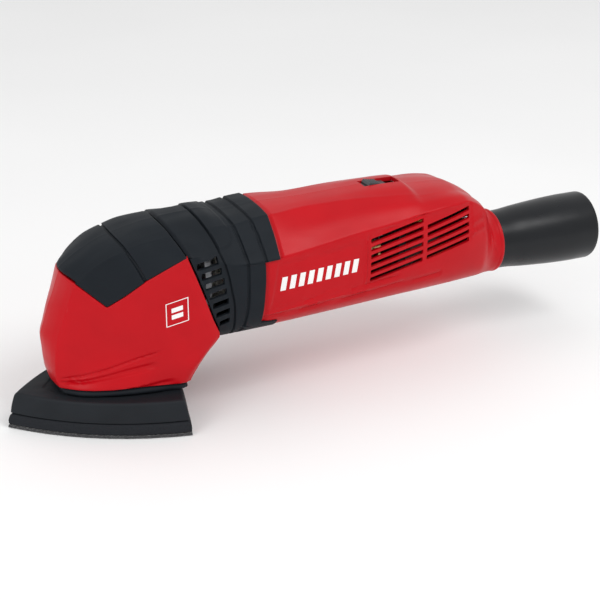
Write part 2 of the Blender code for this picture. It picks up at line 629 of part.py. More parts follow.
def make_barrel():
    """Two red half casings, with a neck that runs forward under the soft collar."""
    inner = loft("barrel_inside", [section_ring(*smaller((SLEEVE[0] - 5, *SLEEVE[1:]), WALL))]
                 + [section_ring(*smaller((COLLAR_REAR_UPPER, *SLEEVE[1:]), WALL))]
                 + [section_ring(*smaller(section, WALL + 0.4)) for section in BARREL_SECTIONS[2:-3]]
                 + [section_ring(*section) for section in TAIL_INSIDE], collection=CUTTERS)
    cut(inner, boss_block("barrel_bosses", BARREL_SCREWS))
    neck = loft("barrel_neck", [section_ring(x, *SLEEVE[1:]) for x in (SLEEVE[0], 90.0)], collection=CUTTERS)
    region = side_region("barrel_region", [(COLLAR_REAR_UPPER, 120), (COLLAR_REAR_UPPER, COLLAR_STEP_Z),
                                           (COLLAR_REAR_LOWER, COLLAR_STEP_Z), (COLLAR_REAR_LOWER, 20),
                                           (240, 20), (240, 120)])
    vents = vent_slots()
    shanks, wells = screw_drill("barrel_screw_holes", BARREL_SCREWS, BARREL_SCREW_ENDS, BARREL_SCREW_HEADS)
    tail_bore = cylinder("tail_bore", SPIGOT_R + GAP, 212, 230, "X", (0, 0, OUTLET_Z), 24, CUTTERS)
    slot = block("switch_slot", (SWITCH_X[0], -SWITCH_SLOT_HALF, 94), (SWITCH_X[1], SWITCH_SLOT_HALF, 110),
                 collection=CUTTERS)
    inlet = cylinder("cord_hole", 4.7, -8, 30, "X", CORD_INLET, 16, CUTTERS)
    for side, low, high in (("left", -60, -GAP / 2), ("right", GAP / 2, 60)):
        shell = loft(f"barrel_shell_{side}", [section_ring(*section) for section in BARREL_SECTIONS], "red_plastic")
        combine(shell, region, "INTERSECT")
        combine(shell, neck, "UNION")
        cut(shell, inner, vents, tail_bore, slot, shanks)
        if side == "right":
            cut(shell, wells, inlet)
        half = block(f"half_space_{side}", (40, low, 0), (240, high, 130), collection=CUTTERS)
        combine(shell, half, "INTERSECT")
    make_screws("barrel_screw", BARREL_SCREWS, BARREL_SCREW_ENDS, BARREL_SCREW_HEADS)


def head_ring(level, inset=0.0, lift=0.0, rear=0.0):
    """One level of the head casing's outline, symmetric about y = 0, optionally moved inwards."""
    z, nose, corner, side, shoulder, back = level
    back_x = back[0] + rear
    half = [(nose + inset, 0.35 * corner[1]), (nose + inset + 0.6, 0.75 * corner[1]),
            (corner[0] + 0.8 * inset, corner[1] - inset), (side[0], side[1] - inset),
            ((side[0] + shoulder[0]) / 2, (side[1] + shoulder[1]) / 2 - inset),
            (shoulder[0], shoulder[1] - inset), ((shoulder[0] + back_x) / 2 + 1.5, shoulder[1] * 0.45 + back[1] * 0.55
                                                 + 0.6 - inset),
            (back_x, back[1] - inset), (back_x, 0.5 * back[1])]
    half = [(x, max(y, 1.0)) for x, y in half]
    return [(x, -y, z + lift) for x, y in half] + [(x, y, z + lift) for x, y in reversed(half)]


def head_form(name, inset=0.0, finish=None, collection=None):
    """The whole head, closed; with an inset, the hollow inside it, open below and to the rear."""
    rings = []
    for level in HEAD_LEVELS:
        z, lift = level[0], 0.0
        if inset and z > DOME_START:
            lift = -inset
        elif inset and NECK_FLOOR[0] <= z <= NECK_FLOOR[1]:
            lift = inset
        elif inset and level is HEAD_LEVELS[0]:
            lift = -4.0
        rear = (6.0 if z >= NECK_OPEN else -inset) if inset else 0.0
        rings.append(head_ring(level, inset, lift, rear))
    return loft(name, rings, finish, collection)


def make_head():
    hollow = head_form("head_inside", WALL, collection=CUTTERS)
    cut(hollow, boss_block("head_bosses", HEAD_SCREWS))
    cap_line = CAP_EDGE + [CAP_REAR]
    cap_region = side_region("cap_region", cap_line + [(46.8, 130), (-60, 130), (-60, 77.2)])
    neck_region = side_region("neck_region", NECK_EDGE + [(50.5, 20.0)] + HEAD_REAR_EDGE[::-1])
    head_outline = [(-60.0, 77.2)] + CAP_EDGE + HEAD_REAR_EDGE[1:] + [(50.5, 10), (-60, 10)]
    cap = head_form("grip_cap", finish="soft_grip")
    combine(cap, cap_region, "INTERSECT")
    cut(cap, head_form("cap_inside", WALL, collection=CUTTERS))
    neck = head_form("neck_grille", finish="soft_grip")
    combine(neck, neck_region, "INTERSECT")
    cut(neck, head_form("neck_inside", WALL, collection=CUTTERS), neck_slots())
    shanks, wells = screw_drill("head_screw_holes", HEAD_SCREWS, HEAD_SCREW_ENDS, HEAD_SCREW_HEADS)
    for side, low, high in (("left", -60, -GAP / 2), ("right", GAP / 2, 60)):
        shell = head_form(f"head_shell_{side}", finish="red_plastic")
        combine(shell, side_region(f"head_region_{side}", head_outline, low, high), "INTERSECT")
        cut(shell, hollow, shanks)
        if side == "right":
            cut(shell, wells)
    make_screws("head_screw", HEAD_SCREWS, HEAD_SCREW_ENDS, HEAD_SCREW_HEADS)


def on_line(points, z):
    """The x of a side-view edge at height z."""
    for (x0, z0), (x1, z1) in zip(points, points[1:]):
        if min(z0, z1) <= z <= max(z0, z1):
            return x0 + (x1 - x0) * (z - z0) / (z1 - z0)
    return points[-1][0]


def neck_slots(count=7):
    """Cooling outlets behind the head: short slots between its rear edge and the collar."""
    slots = []
    for i in range(count):
        z = 84.0 - 5.4 * i
        front, back = on_line(HEAD_REAR_EDGE, z) + 2.6, on_line(NECK_EDGE, z) - 2.2
        slots.append(block("slot", (front, -60, z - 1.8), (back, 60, z + 1.8), collection=CUTTERS))
    return gather("neck_vents", slots)


def make_collar():
    collar = loft("grip_collar", [section_ring(*section) for section in COLLAR_SECTIONS], "soft_grip")
    outline = [(46.8, 130), (COLLAR_REAR_UPPER, 130), (COLLAR_REAR_UPPER, COLLAR_STEP_Z),
               (COLLAR_REAR_LOWER, COLLAR_STEP_Z), (COLLAR_REAR_LOWER, 20)] + NECK_EDGE[::-1]
    combine(collar, side_region("collar_region", outline), "INTERSECT")
    sleeve = (0.0, SLEEVE[1] + GAP, SLEEVE[2] - GAP, SLEEVE[3] + GAP)
    cut(collar, loft("collar_bore", [section_ring(x, *sleeve[1:]) for x in (35.0, 95.0)], collection=CUTTERS))


def make_shroud():
    """The black bottom cover of the head, with the eye that the spindle passes through."""
    outer = [(x, y) for x, y, z in head_ring(SHROUD_LEVEL)]
    cover = prism("dust_shroud", outer, 18.6, 23.6, "Z", "black_plastic")
    cut(cover, cylinder("shroud_eye", 14.5, 10, 40, "Z", (0, 0, 0), 24, CUTTERS))
    turned("dust_seal", ring_profile(14.1, 6.2, 20.2, 23.2), "soft_grip", steps=24)


# ---------------------------------------------------------------- dust path and tail

def make_duct():
    """A flat duct under the motor that widens into the round spigot at the tail."""
    stations = [(38.0, 15.5, 43.4, 48.7), (150.0, 15.5, 43.7, 48.8), (170.0, 14.0, 44.6, 53.5),
                (190.0, 12.6, 44.9, 62.0), (SPIGOT[0] - GAP, 12.3, OUTLET_Z - 12.3, OUTLET_Z + 12.3)]
    duct = loft("dust_duct", [section_ring(*s, count=20, power=2.4) for s in stations], "black_plastic")
    inside = [smaller(s, 1.1) for s in stations]
    inside[0] = (30.0, *inside[0][1:])
    inside[-1] = (215.0, *inside[-1][1:])
    cut(duct, loft("duct_inside", [section_ring(*s, count=20, power=2.4) for s in inside], collection=CUTTERS))
    low, high = SPIGOT
    turned("tail_spigot", ring_profile(SPIGOT_R, SPIGOT_BORE_R, low, high), "black_plastic", "X", (0, 0, OUTLET_Z), 24)


ADAPTER_PROFILE = [(19.0, 283.0), (19.1, 272.0), (18.8, 261.5), (18.1, 250.0), (17.2, 239.0), (16.3, 230.0),
                   (16.0, 222.0), (12.95, 222.0), (12.95, 241.0), (15.4, 250.0), (16.9, 268.0), (17.2, 283.0)]


def make_adapter():
    turned("dust_adapter", ADAPTER_PROFILE, "black_plastic", "X", (0, 0, OUTLET_Z), 28)


# ---------------------------------------------------------------- switch and wiring

def make_switch():
    slider = block("switch_slider", (SWITCH_X[0] + 0.6, -SWITCH_SLOT_HALF + 0.5, 96.0),
                   (SWITCH_X[0] + 9.5, SWITCH_SLOT_HALF - 0.5, 100.0), "switch_grey", 0.6)
    foot = block("slider_foot", (SWITCH_X[0] + 3.0, -1.6, 94.4), (SWITCH_X[0] + 6.6, 1.6, 97.0), collection=CUTTERS)
    combine(slider, foot, "UNION")
    body = block("switch_body", (SWITCH_X[0] - 1, -7.0, 83.4), (SWITCH_X[1] + 3, 7.0, 94.8), "black_plastic")
    cut(body, block("switch_channel", (SWITCH_X[0] + 2.5, -2.1, 92.0), (SWITCH_X[1] - 2.0, 2.1, 99.0),
                    collection=CUTTERS))
    cylinder("suppressor_capacitor", 7.0, 169.0, 187.0, "X", (0, 0, 80.5), 20, finish="yellow_foil")


def make_cord_entry():
    x, y, z = CORD_INLET
    turned("cord_gland", [(4.3, x + 9.6), (4.3, x - 2.4), (5.0, x - 2.6), (5.0, x - 4.6), (CORD_R, x - 4.6),
                          (CORD_R, x + 9.6)], "soft_grip", "X", (0, y, z), 20)
    block("cord_clamp", (x - 13.0, y - 6.5, z - 1.6), (x - 8.0, y + 2.0, z + 1.6), "black_plastic", 0.4)
    y_end = y - 4.0
    wire("supply_lead_brown", [(203.5, y_end, z + 3.2), (190.0, 11.0, 73.0), (180.0, 10.5, 87.0), (168.0, 5.0, 90.5),
                               (166.0, 3.5, 90.0)], 0.9, "brown_sleeve", resolution=0)
    wire("supply_lead_blue", [(203.5, y_end - 2.6, z + 3.2), (190.0, 8.6, 74.0), (172.0, 12.0, 72.0),
                              (160.0, 17.0, 86.0), (142.0, 17.0, 84.0), (131.0, 19.0, 77.0)], 0.9, "blue_sleeve",
         resolution=0)


make_pad()
make_spindle()
make_fork()
make_rotor()
make_stator()
make_motor_supports()
make_brushes()
make_barrel()
make_head()
make_collar()
make_shroud()
make_duct()
make_adapter()
make_switch()
make_cord_entry()
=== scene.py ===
"""Looks of a corded detail sander: casings, grips, pad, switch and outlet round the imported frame.

Shapes are worked out in millimetres in the frame's axes (nose at -X, outlet at +X, +Z up) and
become metres where a mesh is made. The casings are skins: grids of points, rows by columns,
which get relief along their normals and then an even wall behind them.
"""
import json
import math

import bpy
import numpy as np
from mathutils import Matrix, Vector
from mathutils.bvhtree import BVHTree

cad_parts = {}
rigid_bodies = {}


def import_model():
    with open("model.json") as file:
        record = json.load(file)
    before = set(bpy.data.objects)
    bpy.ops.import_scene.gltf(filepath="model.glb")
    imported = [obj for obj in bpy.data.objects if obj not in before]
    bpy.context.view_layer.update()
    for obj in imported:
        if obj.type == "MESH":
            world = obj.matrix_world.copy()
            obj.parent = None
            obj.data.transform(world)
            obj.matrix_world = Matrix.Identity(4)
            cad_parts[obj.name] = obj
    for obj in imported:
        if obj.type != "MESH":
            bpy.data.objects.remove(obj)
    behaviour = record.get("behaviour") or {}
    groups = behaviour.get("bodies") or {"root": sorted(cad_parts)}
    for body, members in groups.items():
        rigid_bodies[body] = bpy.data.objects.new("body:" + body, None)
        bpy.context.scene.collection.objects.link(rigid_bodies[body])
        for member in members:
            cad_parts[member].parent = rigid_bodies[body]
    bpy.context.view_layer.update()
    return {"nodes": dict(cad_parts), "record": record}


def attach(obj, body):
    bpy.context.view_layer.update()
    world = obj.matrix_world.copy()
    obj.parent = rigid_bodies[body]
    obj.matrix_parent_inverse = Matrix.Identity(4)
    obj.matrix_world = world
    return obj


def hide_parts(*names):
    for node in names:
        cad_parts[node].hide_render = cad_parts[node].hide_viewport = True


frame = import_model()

MM = 0.001
WALL = 2.2                 # moulded wall of the casings
RIM = 0.45                 # rounding where a casing ends
OUTLET_Z = 55.2            # axis of the dust outlet
GROOVE = 0.75              # half width of a grip groove
GROOVE_DEPTH = 1.1
MARK_LIFT = 0.05           # how far a printed mark stands off its casing
SHARP_ANGLE = 38.0         # degrees between two faces, from which their edge stays sharp
BEYOND = 60.0              # a y outside the widest casing, where a cutter ends
MIDDLE_GAP = 10.0          # a y inside the casings, where a slot's cutter ends

# barrel sections: x, bottom z, side half width, crease z, crease half width, shoulder y, shoulder z, top z
BARREL = [
    (70.0, 37.9, 33.9, 79.6, 33.8, 18.6, 97.6, 99.0), (84.0, 38.1, 33.4, 80.4, 33.2, 17.6, 97.6, 99.0),
    (104.0, 38.5, 32.4, 82.8, 31.9, 13.5, 97.6, 98.8), (125.0, 39.1, 31.3, 85.2, 30.6, 14.5, 97.9, 99.3),
    (150.0, 39.9, 30.0, 87.4, 29.2, 16.5, 97.0, 100.1), (162.5, 40.2, 29.3, 88.9, 28.4, 17.5, 96.3, 99.9),
    (167.5, 40.3, 29.0, 89.3, 28.1, 17.0, 95.0, 96.7), (183.0, 40.7, 27.9, 90.6, 26.6, 15.0, 94.4, 95.6),
    (191.0, 40.9, 27.0, 90.6, 25.2, 13.0, 93.0, 94.5), (198.0, 41.0, 25.6, 88.2, 23.2, 10.0, 90.0, 91.4),
    (206.0, 41.0, 23.3, 82.5, 20.5, 7.0, 84.9, 86.1), (214.0, 40.8, 20.2, 74.0, 18.0, 6.0, 78.6, 79.8),
    (220.5, 39.4, 17.3, 63.0, 17.0, 5.0, 72.1, 72.8)]
# the same for the soft grip between the head and the barrel
GRIP = [
    (24.0, 38.5, 32.0, 87.0, 31.0, 20.3, 95.2, 98.7), (31.0, 38.5, 34.7, 89.0, 34.2, 20.1, 95.3, 99.3),
    (41.0, 38.0, 35.9, 87.0, 35.0, 20.0, 95.3, 99.9), (50.0, 37.6, 35.6, 83.0, 35.0, 20.0, 96.0, 99.8),
    (57.0, 37.6, 35.3, 80.8, 34.9, 19.7, 95.9, 98.2), (64.0, 37.7, 35.1, 80.4, 34.8, 19.3, 96.2, 98.0),
    (72.0, 37.8, 34.9, 80.2, 34.7, 18.9, 97.4, 98.8), (83.0, 37.9, 34.5, 80.2, 34.3, 18.4, 98.3, 99.8)]
HEAD_FOOT = 21.9           # lower edge of the red head
# edges seen from the side, as (x, z)
CAP_EDGE = [(-23.5, 79.6), (-19.1, 77.2), (-5.5, 64.3), (2.8, 69.7), (13.4, 77.9), (31.3, 89.1)]
HEAD_REAR = [(30.9, 19.0), (33.0, 24.3), (36.6, 30.6), (40.5, 36.3), (44.6, 41.3), (46.9, 44.5),
             (46.8, 46.9), (43.4, 54.7), (39.3, 66.8), (35.2, 78.7), (31.3, 89.1)]
NECK_FRONT = [(47.9, 30.0), (47.9, 46.9), (44.5, 54.7), (40.4, 66.8), (36.3, 78.7), (32.2, 89.1),
              (29.8, 95.3), (27.8, 99.5)]
NECK_REAR = [(55.0, 30.0), (55.0, 47.0), (54.4, 60.0), (51.5, 76.0), (46.8, 94.0), (44.6, 100.5)]
COLLAR_STEP_Z = 79.6
COLLAR_REAR = (72.3, 80.3)             # below and above the step
BARREL_START = (70.8, 78.6)            # front of the barrel's casing, below and above the step
BARREL_END = 220.5
TAIL_BLEND = (205.0, 221.5)            # where the barrel's section turns into the tail's circle
TAIL_RADIUS = 17.2
TAIL_Z = OUTLET_Z + 0.4                # centre of the tail's circle

# head, level by level: z, nose x, front corner x, how far the side stands out at HEAD_STATIONS, rear y
HEAD_STATIONS = (-31.0, -24.0, -17.0, -7.8, 1.6, 11.4, 22.4, 31.0)
HEAD = [
    (19.4, -29.0, -27.6, -2.0, 3.4, 5.8, 5.5, 4.5, 2.6, -0.3, -1.6, 31.0),
    (22.5, -30.6, -29.4, -0.8, 2.4, 4.6, 5.1, 4.3, 2.7, 0.3, -1.0, 31.4),
    (26.4, -31.6, -30.5, 0.0, 0.7, 2.2, 3.0, 2.9, 2.2, 0.6, -0.6, 32.0),
    (32.0, -32.8, -30.6, 0.0, 0.3, 0.7, 1.1, 1.1, 1.0, 0.5, 0.0, 32.8),
    (38.0, -33.4, -30.2, 0.0, 0.0, 0.1, 0.2, 0.2, 0.2, 0.1, 0.0, 33.6),
    (46.5, -34.1, -28.9, 0.0, 0.0, 0.0, 0.0, 0.0, 0.0, 0.0, 0.0, 35.0),
    (53.0, -32.2, -27.0, 0.0, 0.0, 0.0, 0.0, 0.0, 0.0, 0.0, 0.0, 35.6),
    (61.1, -29.6, -24.5, 0.0, 0.0, 0.0, 0.0, 0.0, 0.0, 0.0, 0.0, 35.9),
    (68.0, -26.7, -22.3, 0.0, 0.0, 0.0, 0.0, 0.0, 0.0, 0.0, 0.0, 35.8),
    (76.2, -23.7, -19.8, 0.0, 0.0, 0.0, 0.0, 0.0, 0.0, 0.0, 0.0, 35.3),
    (90.0, -18.0, -15.0, 0.0, 0.0, 0.0, 0.0, 0.0, 0.0, 0.0, 0.0, 34.4)]


# ---------------------------------------------------------------- curves and tables

def smooth_at(x, y, at):
    """A cubic through the points (x, y), with no overshoot, read at other x."""
    x, y, at = (np.asarray(v, float) for v in (x, y, at))
    step = np.diff(x)
    slope = np.diff(y) / step
    tangent = np.zeros_like(y)
    before, after = slope[:-1], slope[1:]
    same = before * after > 0
    w1, w2 = 2 * step[1:] + step[:-1], step[1:] + 2 * step[:-1]
    safe_before, safe_after = np.where(same, before, 1.0), np.where(same, after, 1.0)
    tangent[1:-1] = np.where(same, (w1 + w2) / (w1 / safe_before + w2 / safe_after), 0.0)
    tangent[0], tangent[-1] = slope[0], slope[-1]
    k = np.clip(np.searchsorted(x, at, side="right") - 1, 0, len(step) - 1)
    t, h = (at - x[k]) / step[k], step[k]
    return ((1 + 2 * t) * (1 - t) ** 2 * y[k] + t * (1 - t) ** 2 * h * tangent[k]
            + t * t * (3 - 2 * t) * y[k + 1] + t * t * (t - 1) * h * tangent[k + 1])


def table_at(rows, at):
    """A table whose first column is its key, read at other keys: one column of values for each."""
    rows = np.array(rows, float)
    return [smooth_at(rows[:, 0], rows[:, c], at) for c in range(1, rows.shape[1])]


def x_at(line, z):
    """The x of a side-view line at height z, where z rises along the line."""
    xs, zs = zip(*line)
    return np.interp(z, zs, xs)


def ease(value, low, high):
    t = np.clip((value - low) / (high - low), 0.0, 1.0)
    return t * t * (3 - 2 * t)


def through(points, per_span=10):
    """A dense smooth line through a few points (Catmull-Rom)."""
    points = np.asarray(points, float)
    if len(points) == 2:
        t = np.linspace(0, 1, per_span + 1)[:, None]
        return points[0] * (1 - t) + points[1] * t
    padded = np.vstack([2 * points[0] - points[1], points, 2 * points[-1] - points[-2]])
    line = []
    for a, b, c, d in zip(padded, padded[1:], padded[2:], padded[3:]):
        for t in np.arange(per_span) / per_span:
            line.append(0.5 * (2 * b + (c - a) * t + (2 * a - 5 * b + 4 * c - d) * t * t
                               + (3 * b - 3 * c + d - a) * t ** 3))
    return np.vstack([line, points[-1]])


def spaced(count, length, edge=RIM):
    """Places from 0 to 1 along a stretch, closer together at both ends so that edges can be rounded."""
    near = [0.0, 0.13 * edge / length, 0.45 * edge / length, edge / length]
    middle = np.linspace(near[-1], 1 - near[-1], count)[1:-1]
    return np.array(near + list(middle) + [1 - v for v in reversed(near)])


def resample(line, places):
    arc = np.concatenate([[0.0], np.cumsum(np.linalg.norm(np.diff(line, axis=0), axis=1))])
    return np.stack([np.interp(places * arc[-1], arc, line[:, c]) for c in range(line.shape[1])], axis=1)


def bent_line(stretches, counts, edge=0.9):
    """Smooth stretches that meet at creases, as one line whose creases are slightly rounded."""
    line = None
    for points, count in zip(stretches, counts):
        dense = through(points)
        length = np.linalg.norm(np.diff(dense, axis=0), axis=1).sum()
        part = resample(dense, spaced(count, length, min(edge, 0.3 * length)))
        if line is None:
            line = part
            continue
        crease = len(line) - 1
        line = np.vstack([line, part[1:]])
        before, corner, after = line[crease - 3].copy(), line[crease].copy(), line[crease + 3].copy()
        for k in range(1, 6):
            t = k / 6
            line[crease - 3 + k] = before * (1 - t) ** 2 + corner * 2 * t * (1 - t) + after * t * t
    return line


# ---------------------------------------------------------------- casing sections

SECTION_COUNTS = (44, 26, 22)          # points along a section's side, slope and top


def casing_sections(rows, xs, tail=False):
    """Half sections of a casing from its bottom to its top, y >= 0: (len(xs), points, 3)."""
    bottoms, sides, crease_zs, creases, shoulders, shoulder_zs, tops = table_at(rows, xs)
    grid = []
    for k, x in enumerate(xs):
        zb, ws, zc, wc, yt, zt, ztop = (v[k] for v in (bottoms, sides, crease_zs, creases, shoulders,
                                                       shoulder_zs, tops))
        rise = zc - zb
        side = [(0.0, zb), (0.5 * ws, zb + 0.004 * rise), (0.83 * ws, zb + 0.14 * rise),
                (0.965 * ws, zb + 0.37 * rise), (ws, zb + 0.68 * rise), (wc, zc)]
        slope = [(wc, zc), ((wc + yt) / 2 + 0.7, (zc + zt) / 2 + 0.7), (yt, zt)]
        top = [(yt, zt), (0.55 * yt, zt + 0.72 * (ztop - zt)), (0.0, ztop)]
        line = bent_line([side, slope, top], SECTION_COUNTS)
        if tail and x > TAIL_BLEND[0]:
            angle = np.linspace(-math.pi / 2, math.pi / 2, len(line))
            ring = np.stack([TAIL_RADIUS * np.cos(angle), TAIL_Z + TAIL_RADIUS * np.sin(angle)], axis=1)
            blend = ease(x, *TAIL_BLEND)
            line = line * (1 - blend) + ring * blend
        line[0, 0] = line[-1, 0] = 0.0
        grid.append(np.column_stack([np.full(len(line), x), line]))
    return np.array(grid)


def trimmed(base, front, rear, count):
    """Cut a casing grid between two side-view lines, each row running from front to rear."""
    xs = base[:, 0, 0]
    rows = []
    for r in range(base.shape[1]):
        ys, zs = base[:, r, 1], base[:, r, 2]
        ends = []
        for line in (front, rear):
            x = xs.mean()
            for _ in range(12):
                x = 0.5 * x + 0.5 * float(line(np.interp(x, xs, zs)))
            ends.append(x)
        at = ends[0] + (ends[1] - ends[0]) * spaced(count, ends[1] - ends[0])
        rows.append(np.column_stack([at, np.interp(at, xs, ys), np.interp(at, xs, zs)]))
    return np.array(rows)


# ---------------------------------------------------------------- skins to solid meshes

def grid_normals(grid):
    along = np.gradient(grid, axis=0)
    across = np.gradient(grid, axis=1)
    normal = np.cross(along, across)
    return normal / np.maximum(np.linalg.norm(normal, axis=2, keepdims=True), 1e-9)


def rounding(distance, radius):
    """How far a surface drops at this distance from an edge that is rounded off."""
    near = np.clip(radius - distance, 0.0, radius)
    return radius - np.sqrt(np.maximum(radius ** 2 - near ** 2, 0.0))


def edge_drop(grid, rims, radius):
    """The rounding along the chosen edges of a grid: first row, last row, first column, last column."""
    drop = np.zeros(grid.shape[:2])
    down = np.linalg.norm(np.diff(grid, axis=0), axis=2)
    over = np.linalg.norm(np.diff(grid, axis=1), axis=2)
    from_first_row = np.vstack([np.zeros((1, grid.shape[1])), np.cumsum(down, axis=0)])
    from_first_column = np.hstack([np.zeros((grid.shape[0], 1)), np.cumsum(over, axis=1)])
    distances = (from_first_row, from_first_row[-1] - from_first_row,
                 from_first_column, from_first_column[:, -1:] - from_first_column)
    for wanted, distance in zip(rims, distances):
        if wanted:
            drop = np.maximum(drop, rounding(distance, radius))
    return drop


def skin(grid, inside, relief=None, wall=WALL, rims=(True, True, True, True), radius=RIM):
    """Vertices and faces of a closed wall behind a grid of outer points."""
    normal = grid_normals(grid)
    outward = np.sign(np.sum(normal * (grid - np.array(inside)), axis=2).mean())
    normal = normal * outward
    offset = -edge_drop(grid, rims, radius)
    if relief is not None:
        offset = offset + relief(grid, normal)
    outer = grid + normal * offset[..., None]
    inner = grid - normal * wall
    rows, columns = grid.shape[:2]
    size = rows * columns
    vertices = np.vstack([outer.reshape(-1, 3), inner.reshape(-1, 3)])

    def at(i, j, layer):
        return layer * size + i * columns + j

    faces = []
    for i in range(rows - 1):
        for j in range(columns - 1):
            faces.append((at(i, j, 0), at(i + 1, j, 0), at(i + 1, j + 1, 0), at(i, j + 1, 0)))
            faces.append((at(i, j, 1), at(i, j + 1, 1), at(i + 1, j + 1, 1), at(i + 1, j, 1)))
    for i in range(rows - 1):
        faces.append((at(i, 0, 0), at(i, 0, 1), at(i + 1, 0, 1), at(i + 1, 0, 0)))
        j = columns - 1
        faces.append((at(i, j, 0), at(i + 1, j, 0), at(i + 1, j, 1), at(i, j, 1)))
    for j in range(columns - 1):
        faces.append((at(0, j, 0), at(0, j + 1, 0), at(0, j + 1, 1), at(0, j, 1)))
        i = rows - 1
        faces.append((at(i, j, 0), at(i, j, 1), at(i, j + 1, 1), at(i, j + 1, 0)))
    if outward < 0:
        faces = [face[::-1] for face in faces]
    return vertices, faces


def facing_out(part):
    """The part with its faces turned outwards."""
    vertices, faces = np.asarray(part[0], float), part[1]
    volume = 0.0
    for size in {len(face) for face in faces}:
        corners = vertices[np.array([face for face in faces if len(face) == size])]
        for k in range(1, size - 1):
            volume += np.sum(corners[:, 0] * np.cross(corners[:, k], corners[:, k + 1]))
    return part if volume > 0 else (part[0], [face[::-1] for face in faces])


def piece(name, parts, finish, body, replaces=()):
    """One object from (vertices, faces) parts in millimetres, riding on a body."""
    vertices, faces, start = [], [], 0
    for part_vertices, part_faces in map(facing_out, parts):
        part_vertices = np.asarray(part_vertices, float)
        vertices.append(part_vertices)
        faces += [tuple(v + start for v in face) for face in part_faces]
        start += len(part_vertices)
    mesh = bpy.data.meshes.new(name)
    mesh.from_pydata((np.vstack(vertices) * MM).tolist(), [], faces)
    mesh.validate()
    mesh.update()
    made = bpy.data.objects.new(name, mesh)
    bpy.context.scene.collection.objects.link(made)
    mesh.materials.append(FINISHES[finish])
    mesh.shade_smooth()
    mesh.set_sharp_from_angle(angle=math.radians(SHARP_ANGLE))
    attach(made, body)
    if replaces:
        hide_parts(*replaces)
    return made


def mirrored(part):
    """The same part on the other side of y = 0."""
    vertices, faces = part
    flipped = np.array(vertices, float)
    flipped[:, 1] *= -1
    return flipped, [face[::-1] for face in faces]


def tube(profile, centre, axis="X", steps=96):
    """A closed turned part from (radius, along) points that run round the profile."""
    count = len(profile)
    vertices, faces = [], []
    for k in range(steps):
        a = 2 * math.pi * k / steps
        for radius, along in profile:
            u, v = radius * math.cos(a), radius * math.sin(a)
            offset = {"X": (along, u, v), "Y": (v, along, u), "Z": (u, v, along)}[axis]
            vertices.append([c + o for c, o in zip(centre, offset)])
    for k in range(steps):
        for i in range(count):
            a, b = k * count + i, k * count + (i + 1) % count
            c, d = ((k + 1) % steps) * count + (i + 1) % count, ((k + 1) % steps) * count + i
            faces.append((a, b, c, d))
    return vertices, faces


def slab(outline, low, high):
    """A closed prism from an (x, z) outline, between two y."""
    count = len(outline)
    vertices = [(x, y, z) for y in (low, high) for x, z in outline]
    faces = [tuple(range(count)), tuple(range(2 * count - 1, count - 1, -1))]
    faces += [(i, i + count, (i + 1) % count + count, (i + 1) % count) for i in range(count)]
    return vertices, faces


def carve(made, parts):
    """Cut closed parts out of a piece, and keep its surface smooth where it isn't cut."""
    vertices, faces, start = [], [], 0
    for part_vertices, part_faces in map(facing_out, parts):
        vertices += [tuple(v) for v in np.asarray(part_vertices, float) * MM]
        faces += [tuple(v + start for v in face) for face in part_faces]
        start = len(vertices)
    mesh = bpy.data.meshes.new("cutter")
    mesh.from_pydata(vertices, [], faces)
    cutter = bpy.data.objects.new("cutter", mesh)
    bpy.context.scene.collection.objects.link(cutter)
    modifier = made.modifiers.new("cut", "BOOLEAN")
    modifier.object = cutter
    modifier.solver = "MANIFOLD"
    modifier.operation = "DIFFERENCE"
    bpy.context.view_layer.update()
    graph = bpy.context.evaluated_depsgraph_get()
    result = bpy.data.meshes.new_from_object(made.evaluated_get(graph))
    made.modifiers.clear()
    made.data = result
    bpy.data.objects.remove(cutter)
    finish = result.materials[0]
    result.materials.clear()
    result.materials.append(finish)
    result.polygons.foreach_set("material_index", [0] * len(result.polygons))
    result.set_sharp_from_angle(angle=math.radians(SHARP_ANGLE))
    weighted = made.modifiers.new("even_shading", "WEIGHTED_NORMAL")
    weighted.keep_sharp = True


# ---------------------------------------------------------------- materials

